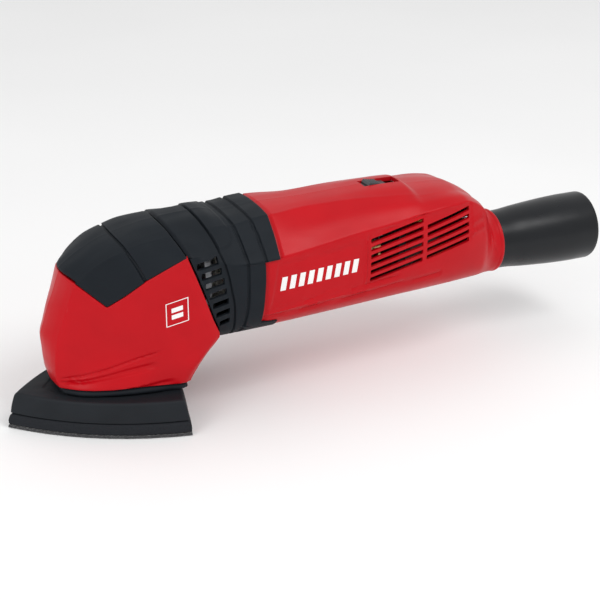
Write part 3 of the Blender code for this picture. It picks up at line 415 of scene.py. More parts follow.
class Nodes:
    """A short way to write a material's node tree."""

    def __init__(self, name):
        self.material = bpy.data.materials.new(name)
        self.material.use_nodes = True
        self.tree = self.material.node_tree
        self.shader = self.tree.nodes["Principled BSDF"]
        self.where = self.add("ShaderNodeTexCoord").outputs["Object"]

    def add(self, kind, **values):
        node = self.tree.nodes.new(kind)
        for name, value in values.items():
            setattr(node, name, value)
        return node

    def set(self, node, **inputs):
        for name, value in inputs.items():
            socket = node.inputs[name.replace("_", " ")]
            if isinstance(value, bpy.types.NodeSocket):
                self.tree.links.new(value, socket)
            else:
                socket.default_value = value
        return node

    def noise(self, scale, detail, stretch=(1.0, 1.0, 1.0)):
        mapping = self.set(self.add("ShaderNodeMapping"), Vector=self.where, Scale=stretch)
        node = self.add("ShaderNodeTexNoise")
        self.set(node, Vector=mapping.outputs["Vector"], Scale=scale, Detail=detail)
        return node.outputs["Fac"]

    def cells(self, scale):
        node = self.add("ShaderNodeTexVoronoi")
        self.set(node, Vector=self.where, Scale=scale)
        return node.outputs["Distance"]

    def span(self, value, low, high, to_low=0.0, to_high=1.0):
        node = self.add("ShaderNodeMapRange")
        inputs = node.inputs
        self.tree.links.new(value, inputs["Value"])
        for name, number in zip(("From Min", "From Max", "To Min", "To Max"), (low, high, to_low, to_high)):
            inputs[name].default_value = number
        return node.outputs["Result"]

    def mix(self, amount, first, second):
        node = self.add("ShaderNodeMix", data_type="RGBA")
        for socket, value in ((node.inputs[0], amount), (node.inputs[6], first), (node.inputs[7], second)):
            if isinstance(value, bpy.types.NodeSocket):
                self.tree.links.new(value, socket)
            else:
                socket.default_value = value if isinstance(value, float) else (*value, 1.0)[:4]
        return node.outputs[2]

    def edges(self):
        """White along convex edges, for wear."""
        geometry = self.add("ShaderNodeNewGeometry")
        return self.span(geometry.outputs["Pointiness"], 0.52, 0.60)

    def bumps(self, layers):
        """Bump layers as (height socket, strength, distance in metres)."""
        normal = None
        for height, strength, distance in layers:
            node = self.set(self.add("ShaderNodeBump"), Height=height, Strength=strength, Distance=distance)
            if normal is not None:
                self.tree.links.new(normal, node.inputs["Normal"])
            normal = node.outputs["Normal"]
        self.tree.links.new(normal, self.shader.inputs["Normal"])


def shade(colour, factor):
    return tuple(min(1.0, c * factor) for c in colour)


def moulded(name, colour, roughness, grain, grain_depth, variation=0.12, wear=0.25, specular=0.5,
            cells=False):
    """Moulded plastic or rubber: cloudy colour, spark-eroded grain, worn edges and handling marks."""
    n = Nodes(name)
    cloud = n.span(n.noise(55.0, 4.0), 0.3, 0.7)
    base = n.mix(cloud, shade(colour, 1 - variation), shade(colour, 1 + variation))
    lighter = tuple(c + 0.06 * wear + c * 0.35 * wear for c in colour)
    worn = n.mix(n.edges(), base, lighter)
    n.set(n.shader, Base_Color=worn, Metallic=0.0, Specular_IOR_Level=specular)
    smear = n.noise(120.0, 5.0, (0.35, 1.0, 1.0))
    n.set(n.shader, Roughness=n.span(smear, 0.3, 0.72, roughness - 0.05, roughness + 0.07))
    fine = n.cells(grain) if cells else n.noise(grain, 2.0)
    n.bumps([(n.noise(90.0, 2.0), 0.05, 0.0004), (fine, grain_depth, 0.00006)])
    return n.material


def metal(name, colour, roughness, brushed=(1.0, 1.0, 1.0), scale=900.0):
    n = Nodes(name)
    streaks = n.noise(scale, 4.0, brushed)
    tint = n.mix(n.span(n.noise(140.0, 3.0), 0.3, 0.7), shade(colour, 0.8), shade(colour, 1.08))
    n.set(n.shader, Base_Color=tint, Metallic=1.0)
    n.set(n.shader, Roughness=n.span(streaks, 0.3, 0.7, roughness - 0.07, roughness + 0.1))
    n.bumps([(streaks, 0.15, 0.00005)])
    return n.material


def hook_material():
    """The face that the sanding sheet clings to: short dark hooks in rows."""
    n = Nodes("hook_fabric")
    rows = n.cells(650.0)
    tuft = n.noise(2600.0, 3.0)
    colour = n.mix(n.span(rows, 0.0, 0.6), (0.085, 0.085, 0.09), (0.02, 0.02, 0.022))
    fuzzy = n.mix(n.span(tuft, 0.3, 0.7), (0.03, 0.03, 0.033), colour)
    n.set(n.shader, Base_Color=fuzzy, Roughness=0.95, Sheen_Weight=0.5)
    n.bumps([(rows, 0.9, 0.0006), (tuft, 0.5, 0.0002)])
    return n.material


def foam_material():
    """Closed-cell foam: fine pores over a soft uneven body."""
    n = Nodes("pad_foam_rubber")
    pores = n.cells(1700.0)
    colour = n.mix(n.span(pores, 0.05, 0.5), (0.007, 0.008, 0.010), (0.015, 0.017, 0.021))
    n.set(n.shader, Base_Color=colour, Roughness=0.78, Specular_IOR_Level=0.2)
    n.bumps([(pores, 0.35, 0.00018), (n.noise(160.0, 2.0), 0.08, 0.0005)])
    return n.material


RED = (0.47, 0.0020, 0.0072)
CHARCOAL = (0.0095, 0.0125, 0.0165)
BLACK = (0.0045, 0.0055, 0.0075)
RUBBER = (0.0105, 0.013, 0.0165)
FINISHES = {
    "red_plastic": moulded("red_plastic", RED, 0.34, 1900.0, 0.10, 0.045, 0.10, specular=0.17),
    "soft_grip": moulded("soft_grip", CHARCOAL, 0.55, 2600.0, 0.30, 0.10, 0.12, specular=0.12, cells=True),
    "black_plastic": moulded("black_plastic", BLACK, 0.32, 2200.0, 0.12, 0.10, 0.2, specular=0.3),
    "pad_rubber": moulded("pad_rubber", RUBBER, 0.6, 2400.0, 0.25, 0.12, 0.2, specular=0.2),
    "pad_foam": foam_material(),
    "hook_fabric": hook_material(),
    "switch_grey": moulded("switch_grey", (0.035, 0.038, 0.043), 0.42, 2200.0, 0.2, 0.1, 0.5),
    "mark_white": moulded("mark_white", (0.86, 0.85, 0.84), 0.42, 1500.0, 0.06, 0.03, 0.0),
    "steel": metal("steel", (0.56, 0.57, 0.59), 0.30, (1.0, 1.0, 6.0)),
    "laminated_steel": metal("laminated_steel", (0.30, 0.30, 0.32), 0.42, (40.0, 1.0, 1.0), 120.0),
    "cast_aluminium": metal("cast_aluminium", (0.40, 0.41, 0.43), 0.5),
    "copper": metal("copper", (0.72, 0.31, 0.14), 0.32, (1.0, 6.0, 6.0)),
    "brass": metal("brass", (0.74, 0.56, 0.26), 0.33),
    "carbon": moulded("carbon", (0.022, 0.022, 0.023), 0.55, 2600.0, 0.3),
    "white_nylon": moulded("white_nylon", (0.68, 0.67, 0.62), 0.45, 1800.0, 0.1, 0.05),
    "yellow_foil": moulded("yellow_foil", (0.68, 0.46, 0.07), 0.3, 1500.0, 0.1, 0.08),
    "blue_sleeve": moulded("blue_sleeve", (0.03, 0.10, 0.45), 0.42, 1500.0, 0.1, 0.06),
    "brown_sleeve": moulded("brown_sleeve", (0.16, 0.06, 0.025), 0.42, 1500.0, 0.1, 0.06),
}


def finish_frame():
    """Give every node of the frame its procedural material."""
    for part in frame["record"]["subparts"]:
        mesh = frame["nodes"][part["node"]].data
        mesh.materials.clear()
        mesh.materials.append(FINISHES[part["material_slot"]])


# ---------------------------------------------------------------- relief on the casings

def line_distance(x, z, line, closed=False):
    """Distance from points (x, z) to a line of segments."""
    best = np.full(x.shape, 1e9)
    pairs = list(zip(line, line[1:])) + ([(line[-1], line[0])] if closed else [])
    for (x0, z0), (x1, z1) in pairs:
        dx, dz = x1 - x0, z1 - z0
        t = np.clip(((x - x0) * dx + (z - z0) * dz) / (dx * dx + dz * dz), 0.0, 1.0)
        best = np.minimum(best, np.hypot(x - x0 - t * dx, z - z0 - t * dz))
    return best


def inside_distance(x, z, outline):
    """Distance to a closed outline, positive inside it."""
    crossings = np.zeros(x.shape, int)
    for (x0, z0), (x1, z1) in zip(outline, outline[1:] + outline[:1]):
        spans = (z0 > z) != (z1 > z)
        slope = (x1 - x0) / (z1 - z0) if z1 != z0 else 0.0
        crossings += spans & (x < x0 + slope * (z - z0))
    return line_distance(x, z, outline, True) * np.where(crossings % 2 == 1, 1.0, -1.0)


def groove(distance, half_width, depth, edge=0.3):
    return -depth * (1 - ease(distance, half_width - edge, half_width + edge))


PANEL = [(75.2, 53.4), (129.6, 56.2), (129.8, 80.0), (79.5, 77.6), (77.6, 66.0)]
RAIL_TOP = [(73.0, 52.3), (129.0, 54.9), (150.0, 56.4)]
RAIL_FOOT = [(72.0, 48.6), (129.0, 50.8), (176.0, 53.4)]
VENT_FIELD = [(131.2, 56.2), (131.2, 82.4), (164.4, 88.2), (195.0, 90.0), (195.0, 70.4), (165.0, 61.6)]
VENT_FRAME = [(131.2, 56.2), (131.2, 82.4), (164.4, 88.3)]
TAIL_RIBS = [[(194.6, 71.9), (204.0, 73.6), (204.0, 75.0), (194.6, 73.4)],
             [(194.6, 77.5), (203.4, 79.2), (203.4, 80.6), (194.6, 79.0)]]


def barrel_relief(grid, normal):
    x, z = grid[..., 0], grid[..., 2]
    side = ease(np.abs(normal[..., 1]), 0.5, 0.75)
    collar = np.where(z > COLLAR_STEP_Z, COLLAR_REAR[1], COLLAR_REAR[0])
    lift = -0.6 * (1 - ease(x, collar + 1.3, collar + 1.8))
    panel = -0.65 * ease(inside_distance(x, z, PANEL), -0.4, 0.5)
    rails = groove(line_distance(x, z, RAIL_TOP), 0.7, 0.75)
    rails = rails + groove(line_distance(x, z, RAIL_FOOT), 0.8, 0.8)
    between = (z > np.interp(x, *zip(*RAIL_FOOT))) & (z < np.interp(x, *zip(*RAIL_TOP)))
    rails = rails + np.where(between, 0.35 * (1 - ease(x, 130, 165)), 0.0)
    vents = -0.35 * ease(inside_distance(x, z, VENT_FIELD), -0.4, 0.5)
    frame_line = groove(line_distance(x, z, VENT_FRAME), 0.55, 0.6)
    ribs = sum(0.8 * ease(inside_distance(x, z, rib), -0.5, 0.4) for rib in TAIL_RIBS)
    return lift + side * (panel + rails + vents + frame_line + ribs)


GRIP_GROOVES = [[(57.5, 36.0), (61.2, 45.0), (62.8, 60.0), (63.0, 80.0), (61.6, 92.0), (60.3, 101.0)],
                [(72.6, 79.0), (72.2, 84.0), (71.4, 92.0), (70.0, 101.0)]]
TONGUE = [(40.0, 103.0), (40.0, 87.4), (54.5, 88.0), (57.6, 89.4), (58.8, 92.0), (58.2, 96.2),
          (57.0, 103.0)]


def collar_relief(grid, normal):
    x, z = grid[..., 0], grid[..., 2]
    front = x_at(NECK_REAR, z)
    lift = groove(np.abs(x - front), 1.2, GROOVE_DEPTH)
    for line in GRIP_GROOVES:
        cut = groove(np.abs(x - x_at(line, z)), GROOVE, GROOVE_DEPTH)
        lift = np.minimum(lift, np.where(z > line[0][1], cut, 0.0))
    tongue = 0.55 * ease(inside_distance(x, z, TONGUE), 0.0, 1.6)
    return lift + tongue * (lift > -0.2)


def neck_relief(grid, normal):
    x, z = grid[..., 0], grid[..., 2]
    gap = groove(np.abs(x - x_at(NECK_FRONT, z)), 0.95, GROOVE_DEPTH)
    fold = groove(line_distance(x, z, [(30.0, 88.0), (51.0, 87.0)]), 0.5, 0.25)
    return np.where(z > 88.0, gap, 0.0) + fold


HEAD_LINES = [([(-29.5, 26.6), (-19.6, 28.2), (-5.7, 32.0), (8.2, 36.9), (19.7, 40.3)], 0.6, 0.6, 0.7),
              ([(-29.5, 25.1), (-19.8, 25.6), (-5.9, 28.4), (8.0, 31.3), (17.2, 33.3)], 0.6, 2.0, 1.1),
              ([(-8.0, 21.2), (6.0, 21.9), (24.0, 23.9)], 0.4, 1.5, 0.9)]


def head_relief(grid, normal):
    x, z = grid[..., 0], grid[..., 2]
    lift = np.zeros(x.shape)
    for line, thin, broad, depth in HEAD_LINES:
        start, end = line[0][0], line[-1][0]
        half = thin + (broad - thin) * ease(x, start, end)
        distance = line_distance(x, z, line)
        fade = ease(x, start - 1.0, start + 4.0) * (1 - ease(x, end - 7.0, end + 1.0))
        lift = lift - depth * fade * (1 - ease(distance, 0.25 * half, half + 0.35))
    return lift


# ---------------------------------------------------------------- barrel and tail

# where a screw is: x, z, then y at the seat of its head and at the end of its socket
BARREL_SCREWS = [(130.0, 91.0, 18.0, 16.3), (130.0, 52.5, 21.0, 27.0), (196.0, 80.0, 15.0, 21.0)]
HEAD_SCREWS = [(-20.0, 62.0, 11.0, 13.6), (36.0, 36.4, 24.0, 26.6)]
SCREW_WELL = 3.1                       # radius of the hole that a screw's head sits in
# one field of barrel vents a row: front x, rear x, lowest and highest z at the front, rise, how many
VENTS = [(132.6, 164.0, 58.0, 79.4, 5.9, 6), (166.4, 193.0, 64.3, 81.2, 5.6, 5)]
VENT_HEIGHT = 2.5
SWITCH_POCKET = (141.4, 162.0)         # front and rear x of the opening that the switch slides in


def sheared_slot(x0, x1, z0, z1, height, low, high):
    """A slot seen from the side, with upright ends, cut between two y."""
    half, nip = height / 2, 0.35
    rise = (z1 - z0) / (x1 - x0) * nip
    outline = [(x0 + nip, z0 + rise - half), (x1 - nip, z1 - rise - half), (x1, z1 - half + nip),
               (x1, z1 + half - nip), (x1 - nip, z1 - rise + half), (x0 + nip, z0 + rise + half),
               (x0, z0 + half - nip), (x0, z0 - half + nip)]
    return slab(outline, low, high)


def barrel_slots(low, high):
    """The cutters of one side's vents, between two y."""
    slots = []
    for x0, x1, bottom, top, rise, count in VENTS:
        for k in range(count):
            z = bottom + (top - bottom) * k / (count - 1)
            slots.append(sheared_slot(x0, x1, z, z + rise, VENT_HEIGHT, low, high))
    return slots


def rod(radius, low, high, centre, axis="X"):
    """A closed round bar, for cutting."""
    steps = 48
    vertices, faces = tube([(radius, low), (radius, high)], centre, axis, steps)
    faces = [face for k, face in enumerate(faces) if k % 2 == 0]
    faces.append(tuple(2 * k for k in range(steps)))
    faces.append(tuple(2 * k + 1 for k in reversed(range(steps))))
    return vertices, faces


def make_barrel():
    """Two casing halves with vents, switch opening, screw wells and cord inlet, and the rim at the tail."""
    base = casing_sections(BARREL, np.linspace(BARREL[0][0], BARREL_END, 172), tail=True)
    below, above = BARREL_START
    half = trimmed(base, lambda z: above if z > COLLAR_STEP_Z else below, lambda z: BARREL_END, 168)
    half = np.transpose(half, (1, 0, 2))
    part = skin(half, (140.0, 0.0, 66.0), barrel_relief, rims=(False, False, True, True), radius=0.22)
    front, rear = SWITCH_POCKET
    switch = slab([(front, 91.0), (rear, 91.0), (rear, 110.0), (front, 110.0)], -4.4, 4.4)
    left = piece("barrel_casing_left", [mirrored(part)], "red_plastic", "housing", ["barrel_shell_left"])
    carve(left, barrel_slots(-BEYOND, -MIDDLE_GAP) + [switch])
    right = piece("barrel_casing_right", [part], "red_plastic", "housing", ["barrel_shell_right"])
    wells = [rod(SCREW_WELL, head - 2.0, BEYOND, (x, 0.0, z), "Y") for x, z, head, end in BARREL_SCREWS]
    inlet = rod(5.15, 200.0, 230.0, (0.0, 14.5, 70.0))
    carve(right, barrel_slots(MIDDLE_GAP, BEYOND) + [switch] + wells + [inlet])
    lip = [(17.15, 219.6), (17.5, 220.3), (17.62, 221.0), (17.5, 221.6), (17.15, 221.95), (16.8, 222.0),
           (16.55, 221.7), (16.4, 221.0), (13.2, 220.7), (13.2, 219.2), (16.8, 219.2)]
    piece("tail_rim", [tube(lip, (0.0, 0.0, TAIL_Z))], "red_plastic", "housing")


def make_screw_bosses(name, screws):
    """Round sockets behind the casing that the screws sit in."""
    for number, (x, z, head, end) in enumerate(screws, 1):
        profile = [(1.75, head - 4.5), (4.3, head - 4.5), (4.3, end), (SCREW_WELL + 0.05, end),
                   (SCREW_WELL + 0.05, head - 2.1), (1.75, head - 2.1)]
        piece(f"{name}_{number}", [tube(profile, (x, 0.0, z), "Y", 40)], "red_plastic", "housing")


def make_adapter():
    """The flared outlet for a dust hose: a turned wall with a rounded rim."""
    xs = np.linspace(222.2, 282.0, 46)
    outside = [(222.2, 16.0), (230.0, 16.3), (239.0, 17.2), (250.0, 18.1), (261.5, 18.8), (272.0, 19.1),
               (282.0, 19.05)]
    bore = [(222.2, 12.95), (241.0, 12.95), (250.0, 15.4), (268.0, 16.9), (282.2, 17.2)]
    outer = [(r, x) for x, r in zip(xs, smooth_at(*zip(*outside), xs))]
    inner = [(r, x) for x, r in zip(xs, smooth_at(*zip(*bore), xs))]
    rim = [(18.85, 282.6), (18.3, 282.95), (17.8, 282.9), (17.4, 282.6)]
    piece("outlet_adapter", [tube(outer + rim + inner[::-1], (0.0, 0.0, OUTLET_Z), "X", 128)],
          "black_plastic", "adapter", ["dust_adapter"])


def make_switch():
    """The sliding switch: a ribbed thumb pad that slopes down to the rear, on a flat slide."""
    start, end, ribs = 144.0, 152.6, 5
    front, rear = SWITCH_POCKET[0] + 0.4, 155.6
    outline = [(front, 95.2), (front, 98.5), (start, 98.5), (start, 99.6)]
    pitch = (end - start - 1.6) / ribs
    for k in range(ribs):
        x, top = start + 0.5 + k * pitch, 100.9 - 0.25 * k
        outline += [(x, top - 0.75), (x + 0.28 * pitch, top), (x + 0.62 * pitch, top),
                    (x + 0.9 * pitch, top - 0.75)]
    outline += [(end - 0.5, 99.0), (end, 98.7), (rear, 98.5), (rear, 95.2)]
    made = piece("switch_thumb_pad", [slab(outline, -4.1, 4.1)], "switch_grey", "switch", ["switch_slider"])
    bevel = made.modifiers.new("soft_edges", "BEVEL")
    bevel.width, bevel.segments, bevel.limit_method = 0.18 * MM, 2, "ANGLE"


# ---------------------------------------------------------------- soft grip

def grip_base(start, end, count):
    return casing_sections(GRIP, np.linspace(start, end, count))


def both_sides(half):
    """Join a half grid, whose last row is on y = 0, with its mirror image."""
    other = half.copy()
    other[..., 1] *= -1
    return np.concatenate([half, other[::-1][1:]])


def make_neck():
    """The strip behind the head, over the top and down both sides, with cooling slots."""
    base = grip_base(24.0, 60.0, 60)
    half = trimmed(base, lambda z: x_at(NECK_FRONT, z), lambda z: x_at(NECK_REAR, z), 30)
    part = skin(both_sides(half), (45.0, 0.0, 66.0), neck_relief, rims=(False, False, True, False))
    made = piece("neck_strip", [part], "soft_grip", "housing", ["neck_grille"])
    slots = []
    for k in range(7):
        z = 83.6 - 5.4 * k
        x0, x1 = x_at(NECK_FRONT, z) + 1.5, x_at(NECK_REAR, z + 1.0) - 2.0
        height = 3.7 - 0.12 * k
        for low, high in ((-BEYOND, -MIDDLE_GAP), (MIDDLE_GAP, BEYOND)):
            slots.append(sheared_slot(x0, x1, z - 0.4, z + 1.2, height, low, high))
    carve(made, slots)


def make_collar():
    """The grooved grip between the neck strip and the barrel, stepped on its rear edge."""

    def rear(z):
        return COLLAR_REAR[1] if z > COLLAR_STEP_Z or z < 45.5 else COLLAR_REAR[0] - 0.06 * max(0.0, 70 - z)

    half = trimmed(grip_base(42.0, 83.0, 84), lambda z: x_at(NECK_REAR, z), rear, 76)
    grid = both_sides(half)
    part = skin(grid, (62.0, 0.0, 66.0), collar_relief, wall=1.0, rims=(False, False, False, True))
    piece("grip_collar_cover", [part], "soft_grip", "housing", ["grip_collar"])


# the cap's middle line as (x, z), and the crease beside it as (x, y, z)
CAP_TOP = [(-22.9, 80.0), (-21.6, 81.6), (-19.0, 83.4), (-15.0, 86.2), (-10.8, 88.7), (-2.5, 92.6),
           (6.0, 95.2), (15.0, 97.2), (22.0, 98.4), (27.0, 98.9), (31.0, 99.2)]
CAP_CREASE = [(-18.4, 16.0, 77.6), (-12.7, 18.1, 83.1), (-3.0, 20.2, 89.0), (3.7, 20.5, 91.3),
              (15.0, 20.5, 94.3), (28.0, 20.2, 95.2), (31.0, 20.1, 95.3)]
CAP_SPLIT = 0.52                       # where along the cap its groove runs, from 0 to 1
CAP_LENGTH = 50.0
CAP_GROOVE_PLACES = (-0.025, -0.017, -0.011, 0.0, 0.011, 0.017, 0.025)


def side_plane(x):
    """Half width of the head's flat sides, which open out towards the rear."""
    y = 22.86 + 0.375 * np.asarray(x, float)
    return np.minimum(y, 36.0) - 0.25 * np.exp(-((y - 36.0) / 0.8) ** 2)


def make_cap():
    """The soft cap over the head, ruled from its middle line over the crease to its lower edge."""
    places = [0.0, CAP_SPLIT, 1.0]
    us = np.union1d(spaced(74, 52.0, 0.9), CAP_SPLIT + np.array(CAP_GROOVE_PLACES))
    half = []
    for u in us:
        xc = np.interp(u, places, [-22.9, 3.5, 26.8])
        xk = np.interp(u, places, [-18.4, 5.4, 28.9])
        xe = np.interp(u, places, [-19.1, 12.6, 31.0])
        zc = float(smooth_at(*zip(*CAP_TOP), xc))
        keys, ys, zs = zip(*CAP_CREASE)
        yk, zk = float(smooth_at(keys, ys, xk)), float(smooth_at(keys, zs, xk))
        edge = (xe, float(side_plane(xe)), float(np.interp(xe, *zip(*CAP_EDGE))))
        top = [(xk, yk, zk), (xc + 0.62 * (xk - xc), 0.72 * yk, zk + 0.52 * (zc - zk)),
               (xc + 0.16 * (xk - xc), 0.36 * yk, zk + 0.9 * (zc - zk)), (xc, 0.0, zc)]
        swell = 0.5 * min(1.0, abs(zk - edge[2]) / 8)
        side = [edge, tuple((a + b) / 2 + c for a, b, c in zip(edge, top[0], (0.0, swell, swell))), top[0]]
        half.append(bent_line([side, top], (30, 40), 0.45))
    half = np.transpose(np.array(half), (1, 0, 2))

    def relief(grid, normal):
        distance = np.abs(us - CAP_SPLIT) * CAP_LENGTH
        return np.broadcast_to(groove(distance, 0.7, GROOVE_DEPTH, 0.2), grid.shape[:2])

    part = skin(both_sides(half), (5.0, 0.0, 66.0), relief, rims=(True, True, True, True), radius=0.6)
    piece("head_grip_cap", [part], "soft_grip", "housing", ["grip_cap"])


# ---------------------------------------------------------------- head

def head_levels(zs):
    """Half outlines of the head, nose to rear corner, y >= 0: (len(zs), points, 3)."""
    columns = table_at(HEAD, zs)
    nose, corner, flares, rear_y = columns[0], columns[1], columns[2:-1], columns[-1]
    grid = []
    for k, z in enumerate(zs):
        rear_x = float(x_at(HEAD_REAR, z))
        flare = [f[k] for f in flares]
        xs = np.linspace(corner[k], rear_x - 4.0, 9)
        ys = side_plane(xs) + smooth_at(HEAD_STATIONS, flare, np.clip(xs, -31.0, 31.0))
        front = [(nose[k], 0.0), (nose[k] + 0.16 * (corner[k] - nose[k]), 0.33 * ys[0]),
                 (nose[k] + 0.52 * (corner[k] - nose[k]), 0.7 * ys[0]), (corner[k], ys[0])]
        side = list(zip(xs, ys)) + [(rear_x, rear_y[k])]
        line = bent_line([front, side], (26, 92), 0.6)
        grid.append(np.column_stack([line, np.full(len(line), z)]))
    return np.array(grid)


def head_grid(count=84):
    """One side of the head between its foot and the cap's edge, bottom to top."""
    zs = np.linspace(HEAD_FOOT - 0.1, 90.0, 142)
    base = head_levels(zs)
    columns = []
    for s in range(base.shape[1]):
        xs, ys = base[:, s, 0], base[:, s, 1]
        top = 75.0
        for _ in range(40):
            top = 0.6 * top + 0.4 * float(np.interp(np.interp(top, zs, xs), *zip(*CAP_EDGE)))
        at = HEAD_FOOT + (top - 0.25 - HEAD_FOOT) * spaced(count, top - HEAD_FOOT)
        columns.append(np.column_stack([np.interp(at, zs, xs), np.interp(at, zs, ys), at]))
    return np.transpose(np.array(columns), (1, 0, 2))


def back_wall(count=26):
    """The rear of the head below the grip, from its corner to the middle."""
    rows = []
    for z in np.linspace(HEAD_FOOT, 44.4, 40):
        x, y = float(x_at(HEAD_REAR, z)), float(table_at(HEAD, [z])[-1][0])
        line = through([(x, y), (x + 1.2, 0.88 * y), (x + 2.0, 0.5 * y), (x + 2.2, 0.0)])
        line = resample(line, spaced(count, 30.0))
        rows.append(np.column_stack([line, np.full(len(line), z)]))
    return np.array(rows)


def make_head():
    """The red head in two halves, the right one with wells for its screws."""
    side = skin(head_grid(), (5.0, 0.0, 50.0), head_relief, rims=(True, True, False, False), radius=0.5)
    rear = skin(back_wall(), (5.0, 0.0, 30.0), rims=(True, False, False, False))
    piece("head_casing_left", [mirrored(side), mirrored(rear)], "red_plastic", "housing",
          ["head_shell_left"])
    right = piece("head_casing_right", [side, rear], "red_plastic", "housing", ["head_shell_right"])
    carve(right, [rod(SCREW_WELL, head - 2.0, BEYOND, (x, 0.0, z), "Y") for x, z, head, end in HEAD_SCREWS])


# ---------------------------------------------------------------- pad

PAD_SIDE = 93.0
PAD_BULGE = 7.4
DUST_HOLES = [(24.0 * math.cos(math.radians(60 * k + 30)), 24.0 * math.sin(math.radians(60 * k + 30)))
              for k in range(6)]


def pad_outline(inset, per_side=40):
    """The bulged triangle of the pad, moved inwards, with barely rounded corners."""
    reach = (PAD_SIDE - 2 * math.sqrt(3) * inset) / math.sqrt(3)
    corners = [np.array([reach * math.cos(a), reach * math.sin(a)]) for a in
               (math.pi + k * 2 * math.pi / 3 for k in range(3))]
    points = []
    for k, corner in enumerate(corners):
        along = corners[(k + 1) % 3] - corner
        outward = np.array([along[1], -along[0]]) / np.linalg.norm(along)
        for i in range(per_side):
            t = 0.5 - 0.5 * math.cos(math.pi * i / per_side)
            points.append(corner + along * t + outward * PAD_BULGE * 4 * t * (1 - t))
    points = np.array(points)
    for _ in range(2):
        points = 0.5 * points + 0.25 * (np.roll(points, 1, axis=0) + np.roll(points, -1, axis=0))
    return points


def stack(rings):
    """A closed solid through rings of equal length, from the bottom up."""
    count = len(rings[0])
    vertices = np.vstack(rings)
    faces = [tuple(reversed(range(count))), tuple(range(len(vertices) - count, len(vertices)))]
    for r in range(len(rings) - 1):
        for i in range(count):
            a, b = r * count + i, r * count + (i + 1) % count
            faces.append((a, b, b + count, a + count))
    return vertices, faces


def level_rings(profile, outline):
    return [np.column_stack([outline(inset), np.full(len(outline(inset)), z)]) for z, inset in profile]


def make_pad():
    """The pad's plate and foam: profiles of (z, inset) carried round the outline, with dust holes."""
    plate = [(7.4, 2.4), (7.4, 1.5), (7.5, 1.15), (7.75, 0.98), (8.2, 0.92), (10.5, 1.12), (13.0, 1.45),
             (15.5, 1.85), (16.9, 2.12), (17.5, 2.4), (17.85, 2.85), (18.0, 3.5), (18.0, 9.0), (17.7, 9.4),
             (17.6, 10.0)]
    foam = [(1.5, 1.0), (1.5, 0.6), (1.65, 0.35), (2.0, 0.2), (3.6, 0.12), (5.4, 0.4), (6.4, 0.68),
            (6.8, 0.95), (7.0, 1.3), (7.1, 2.0)]
    holes = [rod(4.0, -5.0, 14.0, (x, y, 0.0), "Z") for x, y in DUST_HOLES]
    top = piece("pad_plate_cover", [stack(level_rings(plate, pad_outline))], "pad_rubber", "sanding_pad",
                ["pad_plate"])
    carve(top, holes)
    soft = piece("pad_foam_layer", [stack(level_rings(foam, pad_outline))], "pad_foam", "sanding_pad",
                 ["pad_foam"])
    carve(soft, holes)


def boot_outline(inset):
    """The outline of the head's foot, moved inwards."""
    half = head_levels([20.0])[0][::3, :2]
    rear = [(half[-1][0] + 1.6, 0.8 * half[-1][1]), (half[-1][0] + 2.0, 0.35 * half[-1][1])]
    half = np.vstack([half[1:], rear])
    ring = np.vstack([half, (half * np.array([1.0, -1.0]))[::-1], [(half[0][0] - 0.4, 0.0)]])
    centre = np.array([2.0, 0.0])
    away = ring - centre
    return centre + away * (1 - inset / np.linalg.norm(away, axis=1))[:, None]


def make_boot():
    """The black foot between the head and the pad, as (z, inset) round the head's outline."""
    profile = [(18.35, 4.0), (18.35, 2.0), (18.5, 1.1), (18.9, 0.7), (19.6, 0.5), (20.5, 0.7), (21.2, 1.5),
               (21.7, 2.6), (22.6, 3.8), (24.0, 5.0), (24.0, 9.0)]
    vertices, faces = stack(level_rings(profile, boot_outline))
    boot = (vertices, [face[::-1] for face in faces])
    piece("foot_boot", [boot], "soft_grip", "housing", ["dust_shroud"])


# ---------------------------------------------------------------- marks

def surface_of(made):
    """A function that gives the outermost y of a finished piece at (x, z), on its side of the middle."""
    depsgraph = bpy.context.evaluated_depsgraph_get()
    tree = BVHTree.FromObject(made, depsgraph)
    side = 1.0 if made.name.endswith("right") else -1.0

    def surface(x, z):
        hit = tree.ray_cast(Vector((x, side * 80.0, z)) * MM, Vector((0.0, -side, 0.0)))[0]
        return abs(hit.y) / MM

    return surface


def mark(quad, surface, sign):
    """A thin printed patch on a casing: four (x, z) corners, bottom front first, counter-clockwise."""
    corners = [np.array(c) for c in quad]
    grid = []
    for v in np.linspace(0, 1, 9):
        a, b = corners[0] + (corners[3] - corners[0]) * v, corners[1] + (corners[2] - corners[1]) * v
        row = [a + (b - a) * u for u in np.linspace(0, 1, 7)]
        grid.append([(x, sign * (surface(x, z) + MARK_LIFT), z) for x, z in row])
    return skin(np.array(grid), (corners[0][0], 0.0, corners[0][1]), wall=0.3, rims=(False,) * 4)


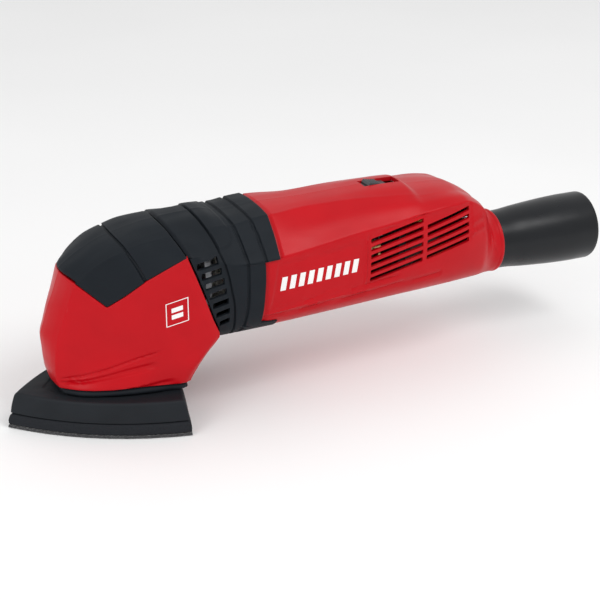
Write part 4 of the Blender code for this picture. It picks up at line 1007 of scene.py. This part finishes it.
def make_marks():
    """Plain white marks: a row of slanted bars on the barrel, and two bars in a frame on the head."""
    first, pitch, slant = 80.6, 5.1, 0.36
    for side, sign in (("left", -1.0), ("right", 1.0)):
        surface = surface_of(bpy.data.objects[f"barrel_casing_{side}"])
        bars = []
        for k in range(9):
            x = first + pitch * k
            z = 62.2 + 0.05 * (x - first)
            quad = [(x, z), (x + 3.0, z), (x + 4.2, z + 7.2), (x + 1.2, z + 7.2)]
            bars.append(mark(quad, surface, sign))
        piece(f"barrel_bars_{side}", bars, "mark_white", "housing")
        surface = surface_of(bpy.data.objects[f"head_casing_{side}"])
        x0, x1, z0, z1, line = 20.8, 31.2, 52.7, 65.0, 0.4
        flat = [[(x0, z0), (x1, z0), (x1, z0 + line), (x0, z0 + line)],
                [(x0, z1 - line), (x1, z1 - line), (x1, z1), (x0, z1)],
                [(x0, z0), (x0 + line, z0), (x0 + line, z1), (x0, z1)],
                [(x1 - line, z0), (x1, z0), (x1, z1), (x1 - line, z1)],
                [(23.4, 55.9), (28.6, 55.9), (28.6, 58.2), (23.4, 58.2)],
                [(23.4, 59.4), (28.6, 59.4), (28.6, 61.7), (23.4, 61.7)]]
        quads = [[(x, z + slant * (x - x0)) for x, z in quad] for quad in flat]
        piece(f"head_frame_{side}", [mark(quad, surface, sign) for quad in quads], "mark_white", "housing")


# ---------------------------------------------------------------- stage, camera and light

# name, place, size and watts of each area light
LIGHTS = [("key", (0.45, -0.62, 0.95), 0.5, 4.2), ("fill", (-0.9, -0.5, 0.6), 0.6, 3.0),
          ("top", (0.1, 0.35, 1.1), 0.9, 0.5)]
LIT_POINT = (0.10, 0.0, 0.06)
CAMERA_PLACE = (-0.1895345, -0.6404495, 0.345443)
CAMERA_FORWARD = (0.38505959, 0.83291507, -0.397469)


def make_stage():
    """White paper under the sander and an even white surround."""
    bpy.ops.mesh.primitive_plane_add(size=8.0, location=(0.0, 0.0, -0.0004))
    floor = bpy.context.object
    floor.name = "floor"
    n = Nodes("floor_paper")
    tone = n.mix(n.span(n.noise(3.0, 2.0), 0.3, 0.7), (0.91, 0.91, 0.91), (0.94, 0.94, 0.94))
    n.set(n.shader, Base_Color=tone, Roughness=0.85, Specular_IOR_Level=0.2)
    floor.data.materials.append(n.material)
    world = bpy.data.worlds.new("studio")
    world.use_nodes = True
    background = world.node_tree.nodes["Background"]
    background.inputs["Color"].default_value = (1.0, 1.0, 1.0, 1.0)
    background.inputs["Strength"].default_value = 0.78
    bpy.context.scene.world = world
    bpy.context.scene.view_settings.view_transform = "Standard"


def aim(made, place, target):
    made.location = place
    made.rotation_euler = (Vector(target) - Vector(place)).to_track_quat("-Z", "Y").to_euler()


def make_lights():
    for name, place, size, power in LIGHTS:
        light = bpy.data.lights.new(name, "AREA")
        light.size, light.energy = size, power
        made = bpy.data.objects.new(name, light)
        bpy.context.scene.collection.objects.link(made)
        aim(made, place, LIT_POINT)


def make_camera():
    """A long lens, to the left of the nose side and a little above the sander."""
    forward = Vector(CAMERA_FORWARD).normalized()
    across = forward.cross(Vector((0.0, 0.0, 1.0))).normalized()
    up = across.cross(forward)
    data = bpy.data.cameras.new("camera")
    data.lens, data.sensor_width = 87.0, 36.0
    data.clip_start, data.clip_end = 0.05, 20.0
    camera = bpy.data.objects.new("camera", data)
    bpy.context.scene.collection.objects.link(camera)
    turn = Matrix((across, up, -forward)).transposed()
    camera.matrix_world = Matrix.Translation(CAMERA_PLACE) @ turn.to_4x4()
    bpy.context.scene.camera = camera


make_camera()
make_stage()
make_lights()
finish_frame()
make_barrel()
make_screw_bosses("barrel_boss", BARREL_SCREWS)
make_screw_bosses("head_boss", HEAD_SCREWS)
make_adapter()
make_switch()
make_neck()
make_collar()
make_cap()
make_head()
make_pad()
make_boot()
make_marks()
